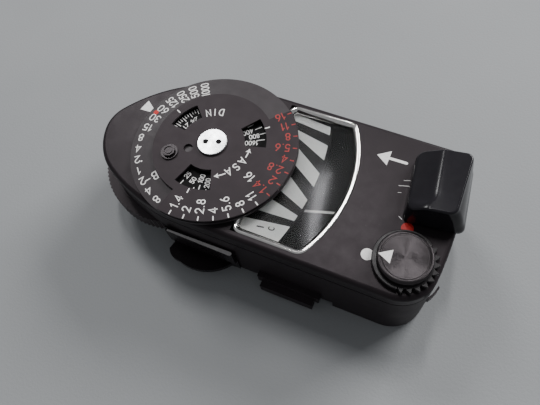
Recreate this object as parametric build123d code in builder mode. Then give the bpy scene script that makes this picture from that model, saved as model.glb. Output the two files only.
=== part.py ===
"""Handheld light meter for a rangefinder camera, built as an assembly of separate pieces.

Millimetres. The origin is the centre of the shoe foot's underside. +Z is up, +X points from the
calculator dial to the measuring switch, and -Y is the side with the photocell.
"""

import math
import os

from build123d import *

os.makedirs("parts", exist_ok=True)

# ---------------------------------------------------------------- driving dimensions
# heights
Z_COVER = 20.8          # flat top of the cover
Z_PARTING = 17.6        # cover meets housing
Z_NOSE = 12.3           # underside of the nose, above the coupling wheel
Z_MIDDLE = 3.2          # underside of the body beside the foot
Z_WHEEL_TOP = 11.8
Z_WHEEL_LOW = 7.8
WALL = 1.2
COVER_T = 1.2

# body outline
HALF_WIDTH = 17.9
X_END = 28.4            # furthest point of the bowed right end
END_DROP = 1.6          # how far the bowed end falls back at the sides
FAR_HALF = 16.7         # the far side closes in to this at the right end
FLANK_R = 40.0
FLANK_TURN = 30.0
NOSE_X = -22.0          # the far side starts to curve towards the tip here
NOSE_R = 33.2
TIP_R = 8.0
NEAR_CORNER_R = 7.3
FAR_CORNER_R = 4.5
DEEP_X = 9.9            # the end block is deeper from here on
DEEP_WALL = 0.8

# axes
X_DIAL = -24.0
X_WHEEL = -35.5
X_MOVE = 18.95
KNOB = (21.0, -10.3)

# calculator dial
DIAL_R = 18.4
DIAL_LOW = 21.1
DIAL_RIM_TOP = 21.7
DIAL_FLAT = 22.25
STEP_R = 13.2
APERTURE_LOW = 22.35
APERTURE_TOP = 22.8
FULL_SECTOR = (-102.0, 47.0)    # degrees over which the aperture dial keeps its full radius
TROUGH = (6.4, 12.0)            # inner and outer radius of the film-speed trough
TROUGH_Z = 21.35
SCALE_T = 0.15
STUD_AT = (-7.8, -5.3)          # lock stud, from the dial's axis
DIMPLE_AT = (-4.5, -2.9)
DIMPLE_R = 1.0
HUB_R = 4.5
SPINDLE_R = 2.0
RUNNING = 0.05                  # radial clearance of a running fit

# coupling wheel and gears
WHEEL_R = 17.8
WHEEL_RECESS_R = 18.4
GEAR_MODULE = 0.5
PINION_TEETH = 13
DIAL_TEETH = 33
GEAR_Z = (14.2, 15.8)
SHAFT_R = 1.5
PIN_R = 1.0
PIN_SHANK_R = 1.3
PIN_AT = 6.5                    # coupling pin, from the wheel's axis
PIN_TIP_Z = 4.8
PIN_SHOULDER_Z = 8.6            # underside of the wheel's web

# window, from the dial's axis
WINDOW_HALF = 16.3
WINDOW_LEFT = 11.5
WINDOW_ARC_R = 31.3
WINDOW_CORNER_R = 2.6           # right corners
WINDOW_HEEL_R = 2.0             # left corners, beside the dial
RAIL = 1.3
LANE_ARC_R = 51.5
LANE_RIGHT = 24.0

# shoe foot
PLATE_W = 18.6
PLATE_L = 18.0
PLATE_T = 1.8
NECK_W = 12.3
PEDESTAL_W = 14.4
FOOT_FRONT = -20.6

# battery
CELL_R = 7.8
CELL_H = 5.9
CHAMBER_R = 8.2
CHAMBER_TOP = 8.6

# movement
YOKE_R = 8.0
YOKE_BORE = 6.0
CORE_R = 4.3
NEEDLE_Z = 17.6
NEEDLE_REST = 16.5      # degrees from -X towards -Y
NEEDLE_LEN = 21.9


def save(part, name):
    """Labels a finished piece and writes it as a STEP file of that name."""
    part.label = name
    export_step(part, f"parts/{name}.step")


def polar(radius, degrees, centre=(0.0, 0.0)):
    """A point at that radius and angle about a centre."""
    angle = math.radians(degrees)
    return (centre[0] + radius * math.cos(angle), centre[1] + radius * math.sin(angle))


def body_outline(inset=0.0):
    """The body's outline seen from above, as a sketch: a bowed right end and an uneven ogive nose."""
    turn = math.radians(FLANK_TURN)
    tip_r = FLANK_R - (FLANK_R - HALF_WIDTH) / math.cos(turn)
    tip_x = X_DIAL - (FLANK_R - tip_r) * math.sin(turn)
    flank = FLANK_R - inset
    side = HALF_WIDTH - inset
    far_side = FAR_HALF - inset
    end = X_END - inset
    join_x = X_DIAL - flank * math.sin(turn)
    join_y = HALF_WIDTH - FLANK_R + flank * math.cos(turn)
    half_x = X_DIAL - flank * math.sin(turn / 2)
    half_y = HALF_WIDTH - FLANK_R + flank * math.cos(turn / 2)
    with BuildSketch() as sketch:
        with BuildLine():
            ThreePointArc((end - END_DROP, -side), (end, 0), (end - END_DROP, far_side))
            Line((end - END_DROP, far_side), (NOSE_X, side))
            Line((NOSE_X, side), (X_DIAL, side))
            ThreePointArc((X_DIAL, side), (half_x, half_y), (join_x, join_y))
            ThreePointArc((join_x, join_y), (tip_x - tip_r + inset, 0), (join_x, -join_y))
            ThreePointArc((join_x, -join_y), (half_x, -half_y), (X_DIAL, -side))
            Line((X_DIAL, -side), (end - END_DROP, -side))
        make_face()
        near_corner = sketch.vertices().sort_by_distance((end - END_DROP, -side))[0]
        fillet(near_corner, NEAR_CORNER_R - inset)
        far_corner = sketch.vertices().sort_by_distance((end - END_DROP, far_side))[0]
        fillet(far_corner, FAR_CORNER_R - inset)
        # the far side's own curve, rounded where it meets the tip
        with BuildSketch(mode=Mode.INTERSECT):
            with Locations((NOSE_X, HALF_WIDTH - NOSE_R)):
                Circle(NOSE_R - inset)
            with Locations((NOSE_X, 0)):
                Rectangle(60, 60, align=(Align.MIN, Align.CENTER))
        fillet(sketch.vertices().sort_by(Axis.X)[0], TIP_R - inset)
    return sketch.sketch


def window_outline(inset=0.0):
    """The window's outline: straight rails, a left end under the dial and an arc about the dial's axis."""
    half = WINDOW_HALF - inset
    left = WINDOW_LEFT + inset
    arc = WINDOW_ARC_R - inset
    with BuildSketch() as sketch:
        with Locations((X_DIAL, 0)):
            Circle(arc)
        with Locations((X_DIAL + left + arc / 2, 0)):
            Rectangle(arc, 2 * half, mode=Mode.INTERSECT)
        groups = sketch.vertices().group_by(Axis.X)
        fillet(groups[-1], WINDOW_CORNER_R - inset * 0.6)
        fillet(groups[0], WINDOW_HEEL_R - inset * 0.6)
    return sketch.sketch


def involute_gear(teeth, start, backlash=0.12, steps=4):
    """A spur gear's outline about the origin, with a tooth centred at the start angle in degrees."""
    pitch = GEAR_MODULE * teeth / 2
    base = pitch * math.cos(math.radians(20))
    outer = pitch + GEAR_MODULE * 0.9
    root = pitch - GEAR_MODULE * 1.25
    inv20 = math.tan(math.radians(20)) - math.radians(20)
    half_tooth = math.pi / (2 * teeth) - backlash / (2 * pitch) + inv20
    first = max(base, root)
    flank = []
    for k in range(steps + 1):
        radius = first + (outer - first) * k / steps
        along = math.sqrt(max((radius / base) ** 2 - 1, 0))
        flank.append((radius, half_tooth - (along - math.atan(along))))
    outline = []
    for tooth in range(teeth):
        centre = math.radians(start) + 2 * math.pi * tooth / teeth
        profile = [(root, -flank[0][1])] + [(r, -a) for r, a in flank]
        profile += [(r, a) for r, a in reversed(flank)] + [(root, flank[0][1])]
        outline += [(r * math.cos(centre + a), r * math.sin(centre + a)) for r, a in profile]
    with BuildSketch() as sketch:
        with BuildLine():
            Polyline(*outline, close=True)
        make_face()
    return sketch.sketch


# ================================================================ casing
COVER_SCREWS = [(25.2, -8.2), (24.0, 13.2), (-15.6, -14.6), (-15.6, 14.6)]
FOOT_SCREWS = [(-4.2, -5.6), (-4.2, 5.6), (4.2, -5.6), (4.2, 5.6)]
BRIDGE_POSTS = [(-44.0, -4.5), (-44.0, 4.5), (-36.0, -9.8), (-36.0, 9.8)]
BOARD_POSTS = [(-6.8, -12.0), (-6.8, 12.0), (6.4, -12.0), (6.4, 12.0)]
SLOT_AT = (21.15, 8.6)
SLOT_L = 7.5
SLOT_W = 2.6
SWITCH_TRAVEL = 3.5
SPRING_X = (12.4, 18.6)         # the return spring's fixed and moving ends
SPRING_Y = 9.6
SPRING_Z = 18.65

with BuildPart() as top_cover:
    with BuildSketch(Plane.XY.offset(Z_PARTING)):
        add(body_outline())
    extrude(amount=Z_COVER - Z_PARTING)
    fillet(top_cover.faces().sort_by(Axis.Z)[-1].edges(), 0.95)
    with BuildSketch(Plane.XY.offset(Z_PARTING)):
        add(body_outline(WALL))
    extrude(amount=Z_COVER - COVER_T - Z_PARTING, mode=Mode.SUBTRACT)
    with BuildSketch(Plane.XY.offset(Z_PARTING)):
        with Locations(*COVER_SCREWS):
            Circle(1.8)
    extrude(amount=Z_COVER - COVER_T - Z_PARTING)
    with BuildSketch(Plane.XY.offset(Z_PARTING)):
        with Locations(*COVER_SCREWS):
            Circle(0.8)
    extrude(amount=2.2, mode=Mode.SUBTRACT)
    with BuildSketch(Plane.XY.offset(Z_PARTING)):
        add(window_outline())
        with Locations((X_DIAL, 0)):
            Circle(HUB_R + 0.4)
        with Locations(KNOB):
            Circle(SHAFT_R + 0.06)
        with Locations(SLOT_AT):
            SlotOverall(SLOT_L, SLOT_W)
    extrude(amount=Z_COVER - Z_PARTING + 1, mode=Mode.SUBTRACT)
    # stop for the switch's return spring
    with BuildSketch(Plane.XY.offset(SPRING_Z - 0.7)):
        with Locations((SPRING_X[0], SPRING_Y)):
            Rectangle(1.0, 2.0, align=(Align.MAX, Align.CENTER))
    extrude(amount=Z_COVER - COVER_T - SPRING_Z + 0.7)
save(top_cover.part, "top_cover")

with BuildPart() as bottom_housing:
    with BuildSketch(Plane.XY.offset(Z_NOSE)):
        add(body_outline())
    extrude(amount=Z_PARTING - 0.35 - Z_NOSE)
    with BuildSketch(Plane.XY.offset(Z_PARTING - 0.35)):
        add(body_outline(0.4))
    extrude(amount=0.35)
    with BuildSketch(Plane.XY.offset(Z_MIDDLE)):
        add(body_outline())
        with Locations((X_WHEEL, 0)):
            Circle(WHEEL_RECESS_R, mode=Mode.SUBTRACT)
        with Locations((-29.5, 0)):
            Rectangle(60, 60, align=(Align.MAX, Align.CENTER), mode=Mode.SUBTRACT)
    extrude(amount=Z_NOSE - Z_MIDDLE)
    with BuildSketch(Plane.XY.offset(0)):
        add(body_outline())
        with Locations((DEEP_X, 0)):
            Rectangle(90, 60, align=(Align.MAX, Align.CENTER), mode=Mode.SUBTRACT)
    extrude(amount=Z_MIDDLE)
    fillet(bottom_housing.faces().sort_by(Axis.Z)[0].edges(), 0.9)
    with BuildSketch(Plane.XY.offset(Z_NOSE + 1.0)):
        add(body_outline(WALL))
    extrude(amount=Z_PARTING - Z_NOSE, mode=Mode.SUBTRACT)
    with BuildSketch(Plane.XY.offset(Z_MIDDLE + WALL)):
        add(body_outline(WALL))
        with Locations((X_WHEEL, 0)):
            Circle(WHEEL_RECESS_R + 1.0, mode=Mode.SUBTRACT)
        with Locations((-27.5, 0)):
            Rectangle(60, 60, align=(Align.MAX, Align.CENTER), mode=Mode.SUBTRACT)
    extrude(amount=Z_PARTING - Z_MIDDLE - WALL, mode=Mode.SUBTRACT)
    with BuildSketch(Plane.XY.offset(1.0)):
        add(body_outline(WALL))
        with Locations((DEEP_X + DEEP_WALL, 0)):
            Rectangle(90, 60, align=(Align.MAX, Align.CENTER), mode=Mode.SUBTRACT)
    extrude(amount=Z_MIDDLE + WALL - 1.0, mode=Mode.SUBTRACT)
    # posts for the cover screws, the gear bridge, the board and the foot screws
    with BuildSketch(Plane.XY.offset(0.6)):
        with Locations(*COVER_SCREWS[:2]):
            Circle(1.9)
    extrude(amount=Z_PARTING - 0.6)
    with BuildSketch(Plane.XY.offset(Z_MIDDLE + 0.6)):
        with Locations(*COVER_SCREWS[2:]):
            Circle(1.9)
    extrude(amount=Z_PARTING - Z_MIDDLE - 0.6)
    with BuildSketch(Plane.XY.offset(Z_NOSE + 0.5)):
        with Locations(*BRIDGE_POSTS):
            Circle(1.4)
    extrude(amount=16.6 - Z_NOSE - 0.5)
    with BuildSketch(Plane.XY.offset(Z_MIDDLE + 0.6)):
        with Locations(*BOARD_POSTS):
            Circle(1.3)
    extrude(amount=9.0 - Z_MIDDLE - 0.6)
    with BuildSketch(Plane.XY.offset(Z_MIDDLE + 0.6)):
        with Locations(*FOOT_SCREWS):
            Circle(1.8)
    extrude(amount=7.0 - Z_MIDDLE - 0.6)
    # screw holes
    with BuildSketch(Plane.XY.offset(-0.1)):
        with Locations(*COVER_SCREWS[:2]):
            Circle(1.6)
    extrude(amount=1.7, mode=Mode.SUBTRACT)
    with BuildSketch(Plane.XY.offset(Z_MIDDLE - 0.1)):
        with Locations(*COVER_SCREWS[2:]):
            Circle(1.6)
    extrude(amount=1.7, mode=Mode.SUBTRACT)
    with BuildSketch(Plane.XY.offset(0)):
        with Locations(*COVER_SCREWS):
            Circle(0.8)
    extrude(amount=Z_PARTING, mode=Mode.SUBTRACT)
    with BuildSketch(Plane.XY.offset(Z_MIDDLE - 0.1)):
        with Locations(*FOOT_SCREWS):
            Circle(0.7)
    extrude(amount=3.2, mode=Mode.SUBTRACT)
    with BuildSketch(Plane.XY.offset(14.0)):
        with Locations(*BRIDGE_POSTS):
            Circle(0.6)
    extrude(amount=3.0, mode=Mode.SUBTRACT)
    # battery hole, wheel bush and spindle holes
    with BuildSketch(Plane.XY.offset(-0.1)):
        with Locations((X_MOVE, 0)):
            Circle(CHAMBER_R)
    extrude(amount=1.2, mode=Mode.SUBTRACT)
    with BuildSketch(Plane.XY.offset(Z_NOSE - 0.1)):
        with Locations((X_WHEEL, 0)):
            Circle(3.0)
        with Locations((X_DIAL, 0)):
            Circle(SPINDLE_R)
    extrude(amount=1.4, mode=Mode.SUBTRACT)
    # opening for the photocell in the near wall
    with BuildSketch(Plane.XZ.offset(HALF_WIDTH - 3.0)):
        with Locations((-19.6, 6.6)):
            RectangleRounded(10.8, 2.8, 0.6)
    extrude(amount=4.0, mode=Mode.SUBTRACT)
save(bottom_housing.part, "bottom_housing")

with BuildPart() as cover_screws:
    for at, low in zip(COVER_SCREWS, (0.4, 0.4, 3.6, 3.6)):
        with BuildSketch(Plane.XY.offset(low)):
            with Locations(at):
                Circle(1.5)
        extrude(amount=1.1)
        with BuildSketch(Plane.XY.offset(low + 1.0)):
            with Locations(at):
                Circle(0.8)
        extrude(amount=19.6 - low - 1.0)
        with BuildSketch(Plane.XY.offset(low)):
            with Locations(at):
                Rectangle(2.4, 0.45)
        extrude(amount=0.4, mode=Mode.SUBTRACT)
save(cover_screws.part, "cover_screws")

# ================================================================ shoe foot
with BuildPart() as shoe_foot:
    with BuildSketch(Plane.XY):
        Rectangle(PLATE_W, PLATE_L)
    extrude(amount=PLATE_T)
    fillet(shoe_foot.edges().filter_by(Axis.Z), 0.6)
    chamfer(shoe_foot.faces().sort_by(Axis.Z)[0].edges(), 0.25)
    with BuildSketch(Plane.XY.offset(PLATE_T - 0.2)):
        with Locations((0, PLATE_L / 2 - 0.5)):
            Rectangle(NECK_W, PLATE_L / 2 - 0.5 - FOOT_FRONT, align=(Align.CENTER, Align.MAX))
    extrude(amount=Z_MIDDLE - PLATE_T + 0.2)
    with BuildSketch(Plane.XY.offset(PLATE_T)):
        with Locations((0, FOOT_FRONT)):
            Rectangle(NECK_W, -FOOT_FRONT - HALF_WIDTH, align=(Align.CENTER, Align.MIN))
    extrude(amount=4.4 - PLATE_T)
    with BuildSketch(Plane.XY.offset(Z_MIDDLE)):
        with Locations((0, -HALF_WIDTH)):
            Rectangle(PEDESTAL_W, 1.2, align=(Align.CENTER, Align.MAX))
    extrude(amount=6.1 - Z_MIDDLE)
    with BuildSketch(Plane.XY):
        with Locations(*FOOT_SCREWS):
            Circle(1.4)
    extrude(amount=1.0, mode=Mode.SUBTRACT)
    with BuildSketch(Plane.XY):
        with Locations(*FOOT_SCREWS):
            Circle(0.7)
    extrude(amount=Z_MIDDLE, mode=Mode.SUBTRACT)
save(shoe_foot.part, "shoe_foot")

with BuildPart() as foot_screws:
    for at in FOOT_SCREWS:
        with BuildSketch(Plane.XY.offset(0.2)):
            with Locations(at):
                Circle(1.4)
        extrude(amount=0.8)
        with BuildSketch(Plane.XY.offset(0.9)):
            with Locations(at):
                Circle(0.7)
        extrude(amount=5.3)
        with BuildSketch(Plane.XY.offset(0.2)):
            with Locations(at):
                Rectangle(2.2, 0.4)
        extrude(amount=0.35, mode=Mode.SUBTRACT)
save(foot_screws.part, "foot_screws")

# ================================================================ photocell
with BuildPart() as cell_hood:
    with BuildSketch(Plane.XZ.offset(HALF_WIDTH)):
        with Locations((-20.6, 8.2)):
            Rectangle(17.0, 9.8)
        with Locations((-19.6, 6.6)):
            RectangleRounded(10.8, 2.8, 0.6, mode=Mode.SUBTRACT)
    extrude(amount=0.4)
    with BuildSketch(Plane.XZ.offset(HALF_WIDTH)):
        with Locations((-20.4, 10.55)):
            Rectangle(16.4, 5.1)
    extrude(amount=1.1)
    with BuildSketch(Plane.XY.offset(3.4)):
        with BuildLine():
            Line((-13.9, -HALF_WIDTH), (-29.0, -HALF_WIDTH))
            Line((-29.0, -HALF_WIDTH), (-29.5, -20.2))
            ThreePointArc((-29.5, -20.2), (-28.4, -21.5), (-26.0, -22.1))
            ThreePointArc((-26.0, -22.1), (-18.8, -21.9), (-13.9, -HALF_WIDTH))
        make_face()
    extrude(amount=1.3)
save(cell_hood.part, "cell_hood")

with BuildPart() as cell_window:
    with BuildSketch(Plane.XZ.offset(HALF_WIDTH - 1.1)):
        with Locations((-19.6, 6.6)):
            RectangleRounded(10.8, 2.8, 0.6)
    extrude(amount=1.2)
save(cell_window.part, "cell_window")

CELL_BACK = 14.9          # distance of the cell's back from the body's centre plane

with BuildPart() as photocell:
    with BuildSketch(Plane.XZ.offset(CELL_BACK)):
        with Locations((-20.3, 7.2)):
            Circle(2.3)
    extrude(amount=1.8)
    with BuildSketch(Plane.XZ.offset(CELL_BACK - 1.6)):
        with Locations((-19.6, 7.2), (-18.8, 7.2)):
            Circle(0.2)
    extrude(amount=1.7)
save(photocell.part, "photocell")

# ================================================================ window
FRAME_LOW = 19.4
FRAME_TOP = 20.9

with BuildPart() as window_frame:
    with BuildSketch(Plane.XY.offset(FRAME_LOW)):
        add(window_outline())
        add(window_outline(RAIL), mode=Mode.SUBTRACT)
    extrude(amount=FRAME_TOP - FRAME_LOW)
save(window_frame.part, "window_frame")

with BuildPart() as window_glass:
    with BuildSketch(Plane.XY.offset(20.0)):
        add(window_outline(RAIL))
    extrude(amount=0.85)
save(window_glass.part, "window_glass")

with BuildPart() as lane_plate:
    with BuildSketch(Plane.XY.offset(FRAME_LOW - 0.25)):
        add(window_outline(0.3))
        with Locations((X_DIAL + LANE_RIGHT - LANE_ARC_R, 0)):
            Circle(LANE_ARC_R, mode=Mode.INTERSECT)
    extrude(amount=0.25)
save(lane_plate.part, "lane_plate")

with BuildPart() as backing_plate:
    with BuildSketch(Plane.XY.offset(16.6)):
        add(window_outline(0.3))
    extrude(amount=0.3)
    with BuildSketch(Plane.XY.offset(16.6)):
        with Locations((-5.2, 15.7), (-5.2, -15.7)):
            Rectangle(13.0, 0.6)
    extrude(amount=FRAME_LOW - 0.25 - 16.6)
save(backing_plate.part, "backing_plate")

# ================================================================ calculator dial
with BuildPart() as dial_spindle:
    with BuildSketch(Plane.XY.offset(Z_NOSE)):
        with Locations((X_DIAL, 0)):
            Circle(SPINDLE_R)
    extrude(amount=DIAL_LOW - Z_NOSE)
    with BuildSketch(Plane.XY.offset(Z_NOSE + 1.0)):
        with Locations((X_DIAL, 0)):
            Circle(3.4)
    extrude(amount=0.35)
save(dial_spindle.part, "dial_spindle")

with BuildPart() as dial_hub:
    with BuildSketch(Plane.XY.offset(13.75)):
        with Locations((X_DIAL, 0)):
            Circle(HUB_R)
    extrude(amount=DIAL_LOW - 13.75)
    with BuildSketch(Plane.XY.offset(DIAL_LOW)):
        with Locations((X_DIAL, 0)):
            Circle(3.0)
    extrude(amount=DIAL_FLAT - DIAL_LOW)
    with BuildSketch(Plane.XY.offset(13.75)):
        with Locations((X_DIAL, 0)):
            Circle(SPINDLE_R + RUNNING)
    extrude(amount=DIAL_LOW + 0.15 - 13.75, mode=Mode.SUBTRACT)
    with BuildSketch(Plane.XY.offset(21.5)):
        with Locations((X_DIAL, 0)):
            Circle(1.0)
    extrude(amount=1.0, mode=Mode.SUBTRACT)
save(dial_hub.part, "dial_hub")

with BuildPart() as dial_gear:
    with BuildSketch(Plane.XY.offset(GEAR_Z[0])):
        with Locations((X_DIAL, 0)):
            add(involute_gear(DIAL_TEETH, 180 + 180 / DIAL_TEETH))
            Circle(HUB_R, mode=Mode.SUBTRACT)
    extrude(amount=GEAR_Z[1] - GEAR_Z[0])
save(dial_gear.part, "dial_gear")

with BuildPart() as speed_dial:
    with BuildSketch(Plane.XZ):
        with BuildLine():
            Polyline(
                (3.0, DIAL_LOW),
                (DIAL_R, DIAL_LOW),
                (DIAL_R, DIAL_RIM_TOP),
                (STEP_R, DIAL_FLAT - 0.05),
                (TROUGH[1], DIAL_FLAT),
                (TROUGH[1], TROUGH_Z),
                (TROUGH[0], TROUGH_Z),
                (TROUGH[0], DIAL_FLAT),
                (3.0, DIAL_FLAT),
                close=True,
            )
        make_face()
    revolve(axis=Axis.Z)
speed_dial.part = speed_dial.part.moved(Location((X_DIAL, 0, 0)))
save(speed_dial.part, "speed_dial")

with BuildPart() as film_speed_scale:
    with BuildSketch(Plane.XY.offset(TROUGH_Z)):
        with Locations((X_DIAL, 0)):
            Circle(TROUGH[1])
            Circle(TROUGH[0], mode=Mode.SUBTRACT)
    extrude(amount=SCALE_T)
save(film_speed_scale.part, "film_speed_scale")

FILM_WINDOWS = [
    # inner radius, outer radius, first angle, last angle
    (7.4, 11.1, 135.0, 173.0),
    (6.9, 11.6, 14.0, 52.0),
    (6.6, 11.4, 252.0, 294.0),
]


def sector(inner, outer, first, last):
    """A ring sector about the dial's axis, as a sketch."""
    middle = (first + last) / 2
    with BuildSketch() as sketch:
        with BuildLine():
            ThreePointArc(
                polar(outer, first, (X_DIAL, 0)),
                polar(outer, middle, (X_DIAL, 0)),
                polar(outer, last, (X_DIAL, 0)),
            )
            Line(polar(outer, last, (X_DIAL, 0)), polar(inner, last, (X_DIAL, 0)))
            ThreePointArc(
                polar(inner, last, (X_DIAL, 0)),
                polar(inner, middle, (X_DIAL, 0)),
                polar(inner, first, (X_DIAL, 0)),
            )
            Line(polar(inner, first, (X_DIAL, 0)), polar(outer, first, (X_DIAL, 0)))
        make_face()
    return sketch.sketch


with BuildPart() as aperture_dial:
    with BuildSketch(Plane.XY.offset(APERTURE_LOW)):
        with Locations((X_DIAL, 0)):
            Circle(STEP_R)
        add(sector(STEP_R - 1.0, DIAL_R, *FULL_SECTOR))
        with Locations((X_DIAL, 0)):
            Circle(2.66, mode=Mode.SUBTRACT)
        with Locations((X_DIAL + STUD_AT[0], STUD_AT[1])):
            Circle(0.86, mode=Mode.SUBTRACT)
        with Locations((X_DIAL + DIMPLE_AT[0], DIMPLE_AT[1])):
            Circle(DIMPLE_R, mode=Mode.SUBTRACT)
        for window in FILM_WINDOWS:
            add(sector(*window), mode=Mode.SUBTRACT)
    extrude(amount=APERTURE_TOP - APERTURE_LOW)
save(aperture_dial.part, "aperture_dial")

with BuildPart() as centre_screw:
    with BuildSketch(Plane.XY.offset(21.6)):
        with Locations((X_DIAL, 0)):
            Circle(1.0)
    extrude(amount=DIAL_FLAT - 21.6)
    with BuildSketch(Plane.XY.offset(DIAL_FLAT)):
        with Locations((X_DIAL, 0)):
            Circle(2.6)
    extrude(amount=0.65)
    with BuildSketch(Plane.XY.offset(22.9)):
        with Locations((X_DIAL, 0)):
            Circle(3.24)
    extrude(amount=0.5)
    with BuildSketch(Plane.XY.offset(22.75)):
        with Locations(polar(1.43, 18, (X_DIAL, 0)), polar(1.43, 198, (X_DIAL, 0))):
            Circle(0.5)
    extrude(amount=0.7, mode=Mode.SUBTRACT)
    chamfer(centre_screw.faces().sort_by(Axis.Z)[-1].outer_wire().edges(), 0.12)
save(centre_screw.part, "centre_screw")

STUD = (X_DIAL + STUD_AT[0], STUD_AT[1])

with BuildPart() as stud_collar:
    with BuildSketch(Plane.XY.offset(APERTURE_TOP)):
        with Locations(STUD):
            Circle(1.85)
            Circle(1.36, mode=Mode.SUBTRACT)
    extrude(amount=0.35)
save(stud_collar.part, "stud_collar")

with BuildPart() as lock_stud:
    with BuildSketch(Plane.XY.offset(22.4)):
        with Locations(STUD):
            Circle(0.8)
    extrude(amount=0.8)
    with BuildSketch(Plane.XY.offset(23.2)):
        with Locations(STUD):
            Circle(1.3)
    extrude(amount=0.45)
    with BuildSketch(Plane.XY.offset(23.5)):
        with Locations(STUD):
            Circle(1.0)
            Circle(0.75, mode=Mode.SUBTRACT)
    extrude(amount=0.2, mode=Mode.SUBTRACT)
save(lock_stud.part, "lock_stud")

with BuildPart() as stud_spring:
    with BuildSketch(Plane.XY.offset(APERTURE_TOP)):
        with Locations(STUD):
            Circle(1.25)
            Circle(0.95, mode=Mode.SUBTRACT)
    extrude(amount=0.4)
save(stud_spring.part, "stud_spring")

# ================================================================ coupling wheel
KNURLS = 100

with BuildPart() as coupling_wheel:
    with BuildSketch(Plane.XY.offset(Z_WHEEL_LOW)):
        with BuildLine():
            Polyline(
                *[
                    polar(WHEEL_R - 0.3 * (k % 2), 180 * k / KNURLS, (X_WHEEL, 0))
                    for k in range(2 * KNURLS)
                ],
                close=True,
            )
        make_face()
    extrude(amount=Z_WHEEL_TOP - Z_WHEEL_LOW)
    with BuildSketch(Plane.XY.offset(Z_WHEEL_LOW)):
        with Locations((X_WHEEL, 0)):
            Circle(15.0)
    extrude(amount=0.8, mode=Mode.SUBTRACT)
    with BuildSketch(Plane.XY.offset(Z_WHEEL_LOW)):
        with Locations((X_WHEEL, 0)):
            Circle(SHAFT_R)
        with Locations((X_WHEEL + PIN_AT, 0)):
            Circle(PIN_SHANK_R)
    extrude(amount=Z_WHEEL_TOP - Z_WHEEL_LOW, mode=Mode.SUBTRACT)
save(coupling_wheel.part, "coupling_wheel")

with BuildPart() as wheel_shaft:
    with BuildSketch(Plane.XY.offset(Z_WHEEL_LOW + 0.8)):
        with Locations((X_WHEEL, 0)):
            Circle(SHAFT_R)
    extrude(amount=16.2 - Z_WHEEL_LOW - 0.8)
    with BuildSketch(Plane.XY.offset(16.2)):
        with Locations((X_WHEEL, 0)):
            Circle(1.0)
    extrude(amount=1.1)
save(wheel_shaft.part, "wheel_shaft")

with BuildPart() as wheel_pinion:
    with BuildSketch(Plane.XY.offset(GEAR_Z[0])):
        with Locations((X_WHEEL, 0)):
            add(involute_gear(PINION_TEETH, 0))
            Circle(SHAFT_R, mode=Mode.SUBTRACT)
    extrude(amount=GEAR_Z[1] - GEAR_Z[0])
save(wheel_pinion.part, "wheel_pinion")

with BuildPart() as coupling_pin:
    with BuildSketch(Plane.XY.offset(PIN_TIP_Z)):
        with Locations((X_WHEEL + PIN_AT, 0)):
            Circle(PIN_R)
    extrude(amount=PIN_SHOULDER_Z - PIN_TIP_Z)
    chamfer(coupling_pin.faces().sort_by(Axis.Z)[0].edges(), 0.2)
    with BuildSketch(Plane.XY.offset(PIN_SHOULDER_Z)):
        with Locations((X_WHEEL + PIN_AT, 0)):
            Circle(PIN_SHANK_R)
    extrude(amount=Z_WHEEL_TOP - PIN_SHOULDER_Z)
save(coupling_pin.part, "coupling_pin")

with BuildPart() as wheel_bush:
    with BuildSketch(Plane.XY.offset(Z_NOSE - 0.1)):
        with Locations((X_WHEEL, 0)):
            Circle(3.0)
    extrude(amount=1.1)
    with BuildSketch(Plane.XY.offset(Z_NOSE + 1.0)):
        with Locations((X_WHEEL, 0)):
            Circle(3.6)
    extrude(amount=0.5)
    with BuildSketch(Plane.XY.offset(Z_NOSE - 0.1)):
        with Locations((X_WHEEL, 0)):
            Circle(SHAFT_R + RUNNING)
    extrude(amount=1.7, mode=Mode.SUBTRACT)
save(wheel_bush.part, "wheel_bush")

with BuildPart() as gear_bridge:
    with BuildSketch(Plane.XY.offset(16.6)):
        with BuildLine():
            Polyline((-45.4, -5.8), (-34.2, -11.4), (-34.2, 11.4), (-45.4, 5.8), close=True)
        make_face()
        with Locations((X_WHEEL, 0)):
            Circle(1.0 + RUNNING, mode=Mode.SUBTRACT)
        with Locations(*BRIDGE_POSTS):
            Circle(0.6, mode=Mode.SUBTRACT)
    extrude(amount=0.8)
save(gear_bridge.part, "gear_bridge")

with BuildPart() as bridge_screws:
    for at in BRIDGE_POSTS:
        with BuildSketch(Plane.XY.offset(14.2)):
            with Locations(at):
                Circle(0.6)
        extrude(amount=3.3)
        with BuildSketch(Plane.XY.offset(17.4)):
            with Locations(at):
                Circle(1.1)
        extrude(amount=0.6)
save(bridge_screws.part, "bridge_screws")

# ================================================================ measuring switch
STEM_AT = (22.9, 8.6)
STEM_SCREWS = [(22.0, 8.6), (23.8, 8.6)]
SLIDER_AT = (22.9, 5.3)
SLIDER_TURN = 6.5               # degrees that the slider stands skew to the body
SLIDER_L = 14.2
SLIDER_LOW = 21.05
SLIDER_LEFT = (-5.7, 25.3)      # across from the slider's centre, and height
SLIDER_RIDGE = (-0.6, 27.4)
SLIDER_BROW = (3.1, 27.7)
SLIDER_SKIRT = 5.9

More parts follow.
